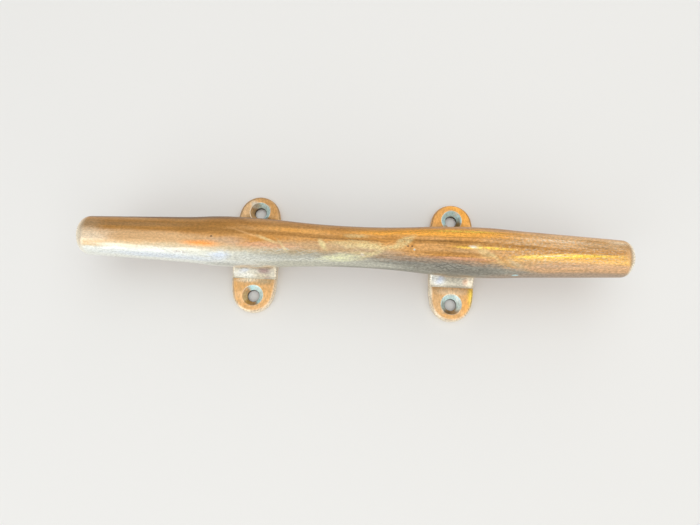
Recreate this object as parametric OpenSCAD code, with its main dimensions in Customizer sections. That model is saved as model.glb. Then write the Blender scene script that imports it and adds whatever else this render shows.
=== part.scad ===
// Two-legged boat cleat in bronze, for screwing to a deck or a rail.
// Millimetres. The deck is the plane z = 0, the bar lies along X, and the
// origin is on the deck below the middle of the bar.

/* [Horn bar] */
// Length of the bar, tip to tip
bar_length = 300; // [270:1:340]
// Height of the bar's axis above the deck
bar_height = 28.4; // [27:0.1:36]
// Diameter at the waist, midway between the legs
waist_d = 22.2; // [18:0.1:24]
// Diameter at the shoulders, the thickest places of the bar
shoulder_d = 27.4; // [26.4:0.1:29]
// Distance along the bar from the middle of a leg out to the shoulder
shoulder_out = 9; // [6:0.5:12]
// Distance along the bar from a shoulder out to the neck, where the straight taper starts
neck_out = 26; // [20:0.5:32]
// Diameter of the left horn at its neck
left_neck_d = 24.6; // [23.4:0.1:25.4]
// Diameter of the right horn at its neck
right_neck_d = 25.1; // [23.4:0.1:25.4]
// Diameter of the left horn where its end rounding starts
left_tip_d = 21.6; // [19:0.1:23]
// Diameter of the right horn where its end rounding starts
right_tip_d = 20.8; // [19:0.1:23]
// Distance from a tip in to the place where the tip diameter is measured
tip_in = 12; // [9:0.5:16]
// Radius of the shallow dome on each tip
dome_r = 18; // [15:0.5:30]
// Radius of the rounded edge round the dome
edge_r = 5.5; // [3:0.1:7]

/* [Legs] */
// Distance between the middles of the two legs
leg_pitch = 114.6; // [100:0.2:130]
// Width of a leg and of its foot, along the bar
leg_w = 25.8; // [25:0.2:30]
// Thickness of a leg's stem, across the bar
stem_t = 16; // [12:0.2:18]
// Radius of the fillet that runs from the stem down to the foot, front and back
toe_r = 7.5; // [5:0.1:8.5]
// Radius of the fillet between the stem and the underside of the bar
saddle_r = 3; // [2:0.1:3.6]

/* [Feet] */
// Length of a foot, across the bar
foot_length = 69.8; // [66:0.2:80]
// Thickness of a foot
foot_t = 5; // [4:0.1:6]
// Distance by which a foot narrows on each side towards its round ends, seen from above
foot_taper = 0.9; // [0.3:0.1:1.9]
// Radius of the rounding along a foot's upper rim
rim_r = 1.2; // [0.6:0.1:1.8]

/* [Screw holes] */
// Distance between the two holes of one foot, across the bar
hole_pitch = 50.4; // [48:0.2:54]
// Diameter of the clearance hole for a quarter-inch wood screw
hole_d = 6.7; // [5:0.1:8]
// Diameter of the countersink's mouth
sink_d = 12; // [10:0.1:14]
// Full angle of the countersink
sink_angle = 82; // [80:1:100]

/* [Seats] */
// Depth to which a leg is let into its foot
housing_depth = 1; // [0.5:0.1:2]
// Diameter of the round spigot on top of a leg
spigot_d = 10; // [8:0.2:12]
// Height of the spigot's top below the bar's axis
spigot_below = 3; // [0:0.5:6]
// Gap round a spigot and at the ends of a housing
seat_gap = 0.05; // [0.02:0.01:0.2]

/* [Hidden] */

$fa = 1.5;
$fs = 0.4;

bronze = [0.72, 0.50, 0.28];
leg_bronze = [0.70, 0.52, 0.36];
foot_bronze = [0.76, 0.53, 0.34];

bar_half = bar_length / 2;
waist_r = waist_d / 2;
shoulder_r = shoulder_d / 2;
leg_x = leg_pitch / 2;
shoulder_x = leg_x + shoulder_out;
neck_x = shoulder_x + neck_out;
tip_x = bar_half - tip_in;

// Waist: a hollow arc from the middle of the bar runs into the shoulder's
// crowned arc. The two touch where the line between their centres is cut in
// the ratio of their radii, so both follow from the swell and its length.
waist_share = 0.52;
swell = shoulder_r - waist_r;
swell_radii = (pow(shoulder_x, 2) + pow(swell, 2)) / (2 * swell);
waist_arc_r = waist_share * swell_radii;
shoulder_arc_r = swell_radii - waist_arc_r;
swell_x = waist_share * shoulder_x;

toe_y = stem_t / 2 + toe_r;
foot_end_r = leg_w / 2 - foot_taper;
end_y = foot_length / 2 - foot_end_r;
housing_y = toe_y + seat_gap;
housing_z = foot_t - housing_depth;
bar_bottom = bar_height - shoulder_r;
spigot_top = bar_height - spigot_below;
saddle_x = leg_w / 2 + saddle_r;

// How far a cutting shape runs past what it cuts
over = 1;
// How far a fillet's thin edge is sunk into the bar
feather = 0.1;
// Longest straight step along an arc of an outline
arc_step = 1.5;
// Steps round the foot's rim
rim_steps = 4;

// Radius of the bar at a distance x from its middle, as far as the shoulder
function bar_radius(x) = x < swell_x
    ? waist_r + waist_arc_r - sqrt(pow(waist_arc_r, 2) - pow(x, 2))
    : shoulder_r - shoulder_arc_r + sqrt(pow(shoulder_arc_r, 2) - pow(x - shoulder_x, 2));

// Points of an arc after its first one, from one angle to another, in degrees.
// An inset draws the arc in towards its centre and keeps its number of points.
function arc(centre, r, from, to, inset = 0) =
    let (steps = max(3, ceil(abs(to - from) / 360 * 2 * PI * r / arc_step)))
    [for (i = [1 : steps])
        let (a = from + (to - from) * i / steps)
        centre + (r - inset) * [cos(a), sin(a)]];

// Half of the bar's outline, from the middle to one tip, as points of radius
// and distance along the bar. Angles are 0 away from the bar's axis and 90
// towards the tip.
function half_outline(neck_r, tip_r) =
    let (
        taper = atan2(neck_r - tip_r, tip_x - neck_x),
        drop = shoulder_r - neck_r,
        // Two arcs of one radius lead from the crown of the shoulder to the taper
        bend = neck_out * sin(taper) - drop * (1 + cos(taper)),
        span = pow(neck_out, 2) + pow(drop, 2),
        blend_r = span / (sqrt(pow(bend, 2) + 2 * (1 - cos(taper)) * span) - bend),
        crown = [shoulder_r - blend_r, shoulder_x],
        hollow = [neck_r + blend_r * cos(taper), neck_x + blend_r * sin(taper)],
        fall = atan2(hollow[1] - crown[1], hollow[0] - crown[0]),
        // The rounded edge touches the taper and the dome from inside
        dome = [0, bar_half - dome_r],
        inner = dome_r - edge_r,
        along = [-sin(taper), cos(taper)],
        from = [neck_r, neck_x] - edge_r * [cos(taper), sin(taper)] - dome,
        ahead = from * along,
        reach = sqrt(pow(ahead, 2) - from * from + pow(inner, 2)) - ahead,
        edge = from + reach * along,
        cap = atan2(edge[1], edge[0]),
        rise = asin(swell_x / waist_arc_r)
    )
    concat(
        [[waist_r, 0]],
        arc([waist_r + waist_arc_r, 0], waist_arc_r, 180, 180 - rise),
        arc([shoulder_r - shoulder_arc_r, shoulder_x], shoulder_arc_r, -rise, 0),
        arc(crown, blend_r, 0, fall),
        arc(hollow, blend_r, 180 + fall, 180 + taper),
        arc(dome + edge, edge_r, taper, cap),
        arc(dome, dome_r, cap, 90)
    );

// Turns an outline of radius and distance along the bar about the bar's axis
module turned() {
    translate([0, 0, bar_height]) rotate([0, 90, 0]) rotate_extrude() children();
}

module bar_blank() {
    left = half_outline(left_neck_d / 2, left_tip_d / 2);
    right = half_outline(right_neck_d / 2, right_tip_d / 2);
    left_from_tip = [for (i = [len(left) - 1 : -1 : 1]) [left[i][0], -left[i][1]]];
    turned() polygon(concat(left_from_tip, right));
}

// A round spigot for the leg at x, or the socket for it when it is grown by a gap
module spigot(x, gap) {
    translate([x, 0, bar_bottom - over])
        cylinder(d = spigot_d + 2 * gap, h = spigot_top + gap - bar_bottom + over);
}

module horn_bar() {
    color(bronze) difference() {
        bar_blank();
        spigot(-leg_x, seat_gap);
        spigot(leg_x, seat_gap);
    }
}

// Stem of a leg from the front, with the toes that run out along the foot
module stem_outline() {
    translate([-stem_t / 2, housing_z]) square([stem_t, bar_height - housing_z]);
    difference() {
        translate([-toe_y, housing_z]) square([2 * toe_y, housing_depth + toe_r]);
        for (s = [-1, 1])
            translate([s * toe_y, foot_t + toe_r]) circle(toe_r);
    }
}

// Fillets between the stem and a bar of radius r, seen from the end of the bar.
// A ball of the fillet's radius rolls along the stem and the bar at once, and
// each edge of the triangle goes through a ball's middle.
module saddle_outline(r) {
    ball_y = stem_t / 2 + saddle_r;
    ball_z = bar_height - sqrt(pow(r + saddle_r, 2) - pow(ball_y, 2));
    difference() {
        polygon([[0, bar_height], [-ball_y, ball_z], [ball_y, ball_z]]);
        for (s = [-1, 1])
            translate([s * ball_y, ball_z]) circle(saddle_r);
    }
}

// An outline seen from the end of the bar, w wide along the bar
module along_bar(w) {
    rotate([90, 0, 90]) linear_extrude(w, center = true) children();
}

// Fillet round the bar at a leg's side. side is +1 where the side faces +X.
module saddle_ring(x, side) {
    r = bar_radius(abs(x + side * saddle_x)) - feather;
    turned() difference() {
        translate([r / 2, side > 0 ? x : x - saddle_x])
            square([r / 2 + saddle_r, saddle_x]);
        translate([r + saddle_r, x + side * saddle_x]) circle(saddle_r);
    }
}

// One leg at x along the bar: stem, toes, saddle for the bar and spigot
module leg(x) {
    inner_r = bar_radius(abs(x) - saddle_x) - feather;
    difference() {
        union() {
            translate([x, 0, 0]) along_bar(leg_w) {
                stem_outline();
                saddle_outline(inner_r);
            }
            for (side = [-1, 1])
                intersection() {
                    translate([x, 0, 0]) along_bar(2 * saddle_x) {
                        translate([-stem_t / 2, bar_bottom - saddle_r])
                            square([stem_t, bar_height - bar_bottom + saddle_r]);
                        saddle_outline(inner_r);
                    }
                    saddle_ring(x, side);
                }
        }
        bar_blank();
    }
    spigot(x, 0);
}

module left_leg() {
    color(leg_bronze) leg(-leg_x);
}

module right_leg() {
    color(leg_bronze) leg(leg_x);
}

// Outline of half a foot from above, towards +Y, drawn in by an inset. A long
// arc on each flank starts straight beside the toe and touches the round end.
function foot_end(inset) =
    let (
        half_w = leg_w / 2,
        taper_y = end_y - toe_y,
        flank_r = (pow(half_w, 2) + pow(taper_y, 2) - pow(foot_end_r, 2))
            / (2 * foot_taper),
        turn = atan2(taper_y, flank_r - half_w)
    )
    concat(
        [[half_w - inset, toe_y]],
        arc([half_w - flank_r, toe_y], flank_r, 0, turn, inset),
        arc([0, end_y], foot_end_r, turn, 180 - turn, inset),
        arc([flank_r - half_w, toe_y], flank_r, 180 - turn, 180, inset)
    );

module foot_outline(inset) {
    half = foot_end(inset);
    polygon(concat(half, -half));
}

// The foot's outline bulges everywhere, so a hull over thin slices gives its
// rounded rim: each slice is drawn in as far as the rounding is at its height
module foot_plate() {
    slice = 0.01;
    hull() {
        linear_extrude(foot_t - rim_r) foot_outline(0);
        for (i = [1 : rim_steps])
            translate([0, 0, foot_t - rim_r + rim_r * sin(90 * i / rim_steps) - slice])
                linear_extrude(slice) foot_outline(rim_r * (1 - cos(90 * i / rim_steps)));
    }
}

module screw_hole() {
    sink_depth = (sink_d - hole_d) / 2 / tan(sink_angle / 2);
    translate([0, 0, -over]) cylinder(d = hole_d, h = foot_t + 2 * over);
    translate([0, 0, foot_t - sink_depth])
        cylinder(d1 = hole_d, d2 = sink_d, h = sink_depth);
    translate([0, 0, foot_t]) cylinder(d = sink_d, h = over);
}

// One foot with its middle at the origin. Beside the leg its edge stays square,
// flush with the leg's side.
module foot() {
    difference() {
        union() {
            foot_plate();
            translate([-leg_w / 2, -toe_y, 0]) cube([leg_w, 2 * toe_y, foot_t]);
        }
        for (s = [-1, 1])
            translate([0, s * hole_pitch / 2, 0]) screw_hole();
        translate([-leg_w, -housing_y, housing_z])
            cube([2 * leg_w, 2 * housing_y, housing_depth + over]);
    }
}

module left_foot() {
    color(foot_bronze) translate([-leg_x, 0, 0]) foot();
}

module right_foot() {
    color(foot_bronze) translate([leg_x, 0, 0]) foot();
}

horn_bar();
left_leg();
right_leg();
left_foot();
right_foot();
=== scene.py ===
"""Bronze boat cleat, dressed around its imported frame.

Shapes are worked out in millimetres in the frame's own axes, with the bar along
X and the deck at z = 0, and go into their meshes in metres.
"""

import logging
import math
from dataclasses import dataclass, field
from enum import Enum
from functools import cached_property

import bmesh
import bpy
import numpy as np
from mathutils import Matrix, Vector


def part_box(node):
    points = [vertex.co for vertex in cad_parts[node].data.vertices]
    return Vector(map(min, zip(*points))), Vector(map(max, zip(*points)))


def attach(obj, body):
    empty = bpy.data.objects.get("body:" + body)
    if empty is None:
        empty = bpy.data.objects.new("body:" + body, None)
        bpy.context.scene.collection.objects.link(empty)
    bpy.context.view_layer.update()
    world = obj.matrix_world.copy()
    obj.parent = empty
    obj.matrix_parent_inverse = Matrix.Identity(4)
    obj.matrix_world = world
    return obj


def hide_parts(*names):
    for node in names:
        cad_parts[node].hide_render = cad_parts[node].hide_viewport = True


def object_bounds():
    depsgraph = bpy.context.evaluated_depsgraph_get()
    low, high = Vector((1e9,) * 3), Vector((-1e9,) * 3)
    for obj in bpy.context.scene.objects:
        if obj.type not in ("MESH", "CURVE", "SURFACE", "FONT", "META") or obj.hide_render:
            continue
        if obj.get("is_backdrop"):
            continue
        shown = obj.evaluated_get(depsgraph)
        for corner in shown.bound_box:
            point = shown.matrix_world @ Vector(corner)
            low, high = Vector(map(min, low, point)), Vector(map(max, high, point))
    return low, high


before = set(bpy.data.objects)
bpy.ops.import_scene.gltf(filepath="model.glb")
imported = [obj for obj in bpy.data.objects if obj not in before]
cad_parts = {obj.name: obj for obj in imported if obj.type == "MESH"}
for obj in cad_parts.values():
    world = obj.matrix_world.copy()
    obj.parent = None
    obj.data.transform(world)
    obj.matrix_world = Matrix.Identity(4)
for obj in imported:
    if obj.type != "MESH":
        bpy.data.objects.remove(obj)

LOG = logging.getLogger("boat_cleat")
MM = 0.001
# Points of a skin that lie closer together than this, in millimetres, become one
SEAM = 0.0001
QUARTER = math.pi / 2
# What Blender's noise is on average
NOISE_MEAN = 0.5
Array = np.ndarray
Socket = bpy.types.NodeSocket
Pair = tuple[float, float]
Triple = tuple[float, float, float]
Colour = tuple[float, float, float, float]
Group = bpy.types.NodeTree


class Kind(Enum):
    """What a socket of a shader group carries."""

    NUMBER = "NodeSocketFloat"
    COLOUR = "NodeSocketColor"
    VECTOR = "NodeSocketVector"


class Op(Enum):
    """Sums on numbers that the materials use."""

    ADD = "ADD"
    SUBTRACT = "SUBTRACT"
    MULTIPLY = "MULTIPLY"
    MAXIMUM = "MAXIMUM"
    ARCTANGENT = "ARCTAN2"


class VectorOp(Enum):
    """Sums on vectors that the materials use."""

    SUBTRACT = "SUBTRACT"
    MULTIPLY = "MULTIPLY"
    DIVIDE = "DIVIDE"
    LENGTH = "LENGTH"
    SCALE = "SCALE"


class Break(Enum):
    """How a mark is broken up: the pattern's level where that starts, and half its blur."""

    SPECKLED = (0.25, 0.08)
    SCRATCHED = (0.33, 0.05)


class Side(Enum):
    """Which half of the cleat a piece belongs to, as the sign of its x."""

    LEFT = -1
    RIGHT = 1

    @property
    def word(self) -> str:
        """The side's name as it stands in the nodes' names."""
        return self.name.lower()


# Data of a mix node, the first of the two inputs that it mixes, and its output
MIX_NODES = {
    Kind.NUMBER: ("FLOAT", 2, 0),
    Kind.VECTOR: ("VECTOR", 4, 1),
    Kind.COLOUR: ("RGBA", 6, 2),
}


def box_of(node: str) -> tuple[Array, Array]:
    """Lowest and highest corner of a CAD node, in millimetres."""
    low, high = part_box(node)
    return np.array(low) / MM, np.array(high) / MM


def tint(red: float, green: float, blue: float) -> Colour:
    """Turns a display colour of 0 to 255 into the linear colour of a shader, as sRGB has it.

    Args:
        red: Red as it looks on a display.
        green: Green as it looks on a display.
        blue: Blue as it looks on a display.

    Returns:
        Linear red, green and blue, and an alpha of 1.
    """
    shown = np.array([red, green, blue]) / 255
    linear = np.where(shown <= 0.04045, shown / 12.92, ((shown + 0.055) / 1.055) ** 2.4)
    return (*linear.tolist(), 1.0)


def ease(value: Array, low: float, high: float) -> Array:
    """Runs from 0 at low to 1 at high without a kink, as 3tt - 2ttt of the clipped share t.

    Args:
        value: Numbers to ease.
        low: Where the result leaves 0.
        high: Where the result reaches 1.

    Returns:
        An array like value, from 0 to 1.
    """
    share = np.clip((value - low) / (high - low), 0, 1)
    return share * share * (3 - 2 * share)


def unit(arrows: Array) -> Array:
    """The same directions, each at length 1."""
    return arrows / np.linalg.norm(arrows, axis=-1, keepdims=True)


def lift(points: Array, heights: Array) -> Array:
    """Gives each row of flat points its height.

    Args:
        points: Points of x and y by row and column.
        heights: The z of each row.

    Returns:
        Points of x, y and z by row and column.
    """
    level = np.broadcast_to(heights[:, None, None], (len(heights), points.shape[1], 1))
    return np.concatenate([points, level], axis=-1)


def arc(centre: Pair, radius: float, start: float, stop: float, step: float,
        fewest: int = 6) -> Array:
    """Points of a circle's arc: its centre plus radius times (cosine, sine) of an even angle.

    Args:
        centre: Middle of the circle.
        radius: Radius of the circle.
        start: First angle, in radians.
        stop: Last angle, in radians.
        step: Longest distance between two points.
        fewest: Least number of steps.

    Returns:
        Points, one row each, both ends included.
    """
    steps = max(fewest, math.ceil(abs(stop - start) * radius / step))
    angle = np.linspace(start, stop, steps + 1)
    return centre + radius * np.stack([np.cos(angle), np.sin(angle)], axis=1)


class Skin:
    """A closed surface put together from grids of points in millimetres."""

    def __init__(self, name: str) -> None:
        """Starts an empty skin for the piece of that name.

        Args:
            name: Name of the piece.
        """
        self.name = name
        self.points: list[Array] = []
        self.faces: list[list[int]] = []
        self.masks: dict[str, list[Array]] = {}
        self.count = 0

    def add_points(self, points: Array, masks: dict[str, Array]) -> Array:
        """Takes in points and what each mask is there.

        Args:
            points: Points in any grid shape, last axis x, y and z.
            masks: Values of each mask in the same grid shape. A mask left out is 0 there.

        Returns:
            The points' numbers in the skin, in the grid's shape.
        """
        shape = points.shape[:-1]
        number = np.arange(int(np.prod(shape))).reshape(shape) + self.count
        self.points.append(points.reshape(-1, 3))
        for name in {**self.masks, **masks}:
            values = np.broadcast_to(masks.get(name, np.zeros(shape)), shape).reshape(-1)
            self.masks.setdefault(name, [np.zeros(self.count)]).append(values)
        self.count += number.size
        return number

    def add_grid(self, grid: Array, closed: bool, **masks: Array) -> Array:
        """Adds a grid of four-sided faces.

        Args:
            grid: Points by row and column.
            closed: Whether the last column joins the first.
            **masks: Values of each mask by row and column.

        Returns:
            The points' numbers by row and column.
        """
        number = self.add_points(grid, masks)
        wrap = np.concatenate([number, number[:, :1]], axis=1) if closed else number
        corners = [wrap[:-1, :-1], wrap[1:, :-1], wrap[1:, 1:], wrap[:-1, 1:]]
        self.faces.extend(np.stack(corners, axis=-1).reshape(-1, 4).tolist())
        return number

    def add_cap(self, ring: Array, tip: Triple) -> None:
        """Closes a ring of points with triangles that meet in one point.

        Args:
            ring: Numbers of the ring's points, in order.
            tip: Where the triangles meet.
        """
        top = self.add_points(np.array([tip], float), {})
        fan = np.stack([ring, np.roll(ring, -1), np.broadcast_to(top, ring.shape)], axis=-1)
        self.faces.extend(fan.tolist())

    def make(self, crease: float = math.radians(40)) -> bpy.types.Object:
        """Puts the surface into a mesh with its seams merged and its faces outwards.

        Args:
            crease: Angle between two faces above which their edge stays sharp.

        Returns:
            The new object, which stands at the origin.
        """
        mesh = bpy.data.meshes.new(self.name)
        mesh.from_pydata(np.concatenate(self.points) * MM, [], self.faces)
        for name, parts in self.masks.items():
            layer = mesh.attributes.new(name, "FLOAT", "POINT")
            layer.data.foreach_set("value", np.concatenate(parts).astype(np.float32))
        work = bmesh.new()
        work.from_mesh(mesh)
        bmesh.ops.remove_doubles(work, verts=work.verts, dist=SEAM * MM)
        bmesh.ops.recalc_face_normals(work, faces=work.faces)
        for face in work.faces:
            face.smooth = True
        for edge in work.edges:
            edge.smooth = edge.is_manifold and edge.calc_face_angle(0) < crease
        work.to_mesh(mesh)
        work.free()
        piece = bpy.data.objects.new(self.name, mesh)
        bpy.context.scene.collection.objects.link(piece)
        return piece


@dataclass(frozen=True)
class HornBar:
    """The round bar with its waist, two shoulders and two horns. Sizes in millimetres."""

    half_length: float
    axis_z: float
    shoulder_r: float
    waist_r: float = 11.1
    shoulder_x: float = 66.3
    neck_x: float = 92.3
    neck_r: dict[Side, float] = field(default_factory=lambda: {Side.LEFT: 12.3, Side.RIGHT: 12.55})
    tip_r: dict[Side, float] = field(default_factory=lambda: {Side.LEFT: 10.8, Side.RIGHT: 10.4})
    tip_x: float = 138.0
    dome_r: float = 18.0
    edge_r: float = 5.5
    waist_share: float = 0.52
    step: float = 0.8
    taper_points: int = 60
    columns: int = 120
    # Depth of the hand-finished waves, their pitches along the bar and how the depth is shared
    wave: float = 0.06
    wave_pitch: Triple = (21.0, 11.3, 37.0)
    wave_share: Triple = (0.4, 0.3, 0.3)
    # How far the first two waves sway round the bar, and where that starts, in radians
    wave_sway: Pair = (1.6, 0.9)
    wave_start: Pair = (0.4, 2.1)
    # Radius of the bar below which waves and dents die out
    calm_r: float = 6.0
    dents: int = 26
    dent_reach: float = 140.0
    dent_size: Pair = (0.9, 2.6)
    dent_depth: Pair = (0.03, 0.12)
    seed: int = 11

    @classmethod
    def from_frame(cls) -> "HornBar":
        """Takes length, thickness and height from the CAD node's box.

        Returns:
            The bar.
        """
        low, high = box_of("horn_bar")
        return cls(half_length=high[0], axis_z=(low[2] + high[2]) / 2,
                   shoulder_r=(high[2] - low[2]) / 2)

    def half_outline(self, side: Side) -> Array:
        """Outline from the middle of the bar to one tip.

        The waist's hollow arc runs into the shoulder's crowned arc where the line between
        their centres is cut as their radii. Two more arcs of one radius lead to the straight
        taper, and the rounded edge touches the taper and the tip's dome from inside.

        Args:
            side: Which horn.

        Returns:
            Rows of radius and distance from the middle.
        """
        neck_r, tip_r = self.neck_r[side], self.tip_r[side]
        swell = self.shoulder_r - self.waist_r
        radii = (self.shoulder_x ** 2 + swell ** 2) / (2 * swell)
        waist_arc = self.waist_share * radii
        swell_arc = radii - waist_arc
        rise = math.asin(self.waist_share * self.shoulder_x / waist_arc)
        taper = math.atan2(neck_r - tip_r, self.tip_x - self.neck_x)
        across = np.array([math.cos(taper), math.sin(taper)])
        along = np.array([-math.sin(taper), math.cos(taper)])
        neck = np.array([neck_r, self.neck_x])
        out, drop = self.neck_x - self.shoulder_x, self.shoulder_r - neck_r
        bend = out * across[1] - drop * (1 + across[0])
        span = out ** 2 + drop ** 2
        blend_r = span / (math.sqrt(bend ** 2 + 2 * (1 - across[0]) * span) - bend)
        crown = np.array([self.shoulder_r - blend_r, self.shoulder_x])
        hollow = neck + blend_r * across
        fall = math.atan2(hollow[1] - crown[1], hollow[0] - crown[0])
        dome = np.array([0, self.half_length - self.dome_r])
        start = neck - dome - self.edge_r * across
        ahead = float(start @ along)
        inner = self.dome_r - self.edge_r
        edge = start + (math.sqrt(ahead ** 2 - float(start @ start) + inner ** 2) - ahead) * along
        cap = math.atan2(edge[1], edge[0])
        blend = arc(hollow, blend_r, math.pi + fall, math.pi + taper, self.step)
        rounding = arc(dome + edge, self.edge_r, taper, cap, self.step / 2)
        pieces = [
            arc((self.waist_r + waist_arc, 0), waist_arc, math.pi, math.pi - rise, self.step),
            arc((self.shoulder_r - swell_arc, self.shoulder_x), swell_arc, -rise, 0, self.step),
            arc(crown, blend_r, 0, fall, self.step),
            blend,
            np.linspace(blend[-1], rounding[0], self.taper_points),
            rounding,
            arc(dome, self.dome_r, cap, QUARTER, self.step / 2),
        ]
        return np.concatenate([pieces[0][:1]] + [piece[1:] for piece in pieces])

    @cached_property
    def outline(self) -> Array:
        """Rows of x and radius, from the left tip to the right one.

        Returns:
            The outline.
        """
        left = self.half_outline(Side.LEFT)[::-1] * (1, -1)
        right = self.half_outline(Side.RIGHT)
        return np.concatenate([left[:-1], right])[:, ::-1]

    def surface_radius(self, x: Array, angle: Array) -> Array:
        """Radius of the hand-finished bar.

        The outline's radius less a shallow wave, which is a sum of three slow sines of the
        distance along the bar, and less small round dents. In one round the first sine sways
        once, the second twice, and the third turns three times. Wave and dents die out where
        the radius does.

        Args:
            x: Distances along the bar.
            angle: Angles round it, in radians, 0 towards +Y and a quarter turn upwards.

        Returns:
            Radii for each pair of x and angle.
        """
        plain = np.interp(x, self.outline[:, 0], self.outline[:, 1])
        along = [x / pitch for pitch in self.wave_pitch]
        sines = (
            np.sin(along[0] + self.wave_sway[0] * np.cos(angle + self.wave_start[0])),
            np.sin(along[1] + self.wave_start[1] + self.wave_sway[1] * np.sin(2 * angle)),
            np.cos(along[2] + 3 * angle),
        )
        wave = sum(share * sine for share, sine in zip(self.wave_share, sines))
        return plain - (self.wave * (1 - wave) + self.dent(x, angle)) * ease(plain, 0, self.calm_r)

    def dent(self, x: Array, angle: Array) -> Array:
        """Depth of the dents: for each, a bell curve of the distance from its middle.

        Args:
            x: Distances along the bar.
            angle: Angles round it, in radians.

        Returns:
            Depths for each pair of x and angle.
        """
        draw = np.random.default_rng(self.seed)
        depth = np.zeros(np.broadcast(x, angle).shape)
        for _ in range(self.dents):
            middle = draw.uniform(-self.dent_reach, self.dent_reach)
            turn = draw.uniform(0, 2 * math.pi)
            size, deep = draw.uniform(*self.dent_size), draw.uniform(*self.dent_depth)
            across = self.shoulder_r * np.sin((angle - turn) / 2) * 2
            depth = depth + deep * np.exp(-((x - middle) ** 2 + across ** 2) / size ** 2)
        return depth

    def make(self) -> bpy.types.Object:
        """Carries the outline round the bar's axis and closes both tips.

        Returns:
            The bar's object.
        """
        skin = Skin("cast_horn_bar")
        x = self.outline[1:-1, 0][:, None]
        angle = np.linspace(0, 2 * math.pi, self.columns, endpoint=False)[None, :]
        radius = self.surface_radius(x, angle)
        y, z = radius * np.cos(angle), self.axis_z + radius * np.sin(angle)
        number = skin.add_grid(np.stack([x + 0 * y, y, z], -1), closed=True)
        skin.add_cap(number[0], (-self.half_length, 0, self.axis_z))
        skin.add_cap(number[-1], (self.half_length, 0, self.axis_z))
        return skin.make()


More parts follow.
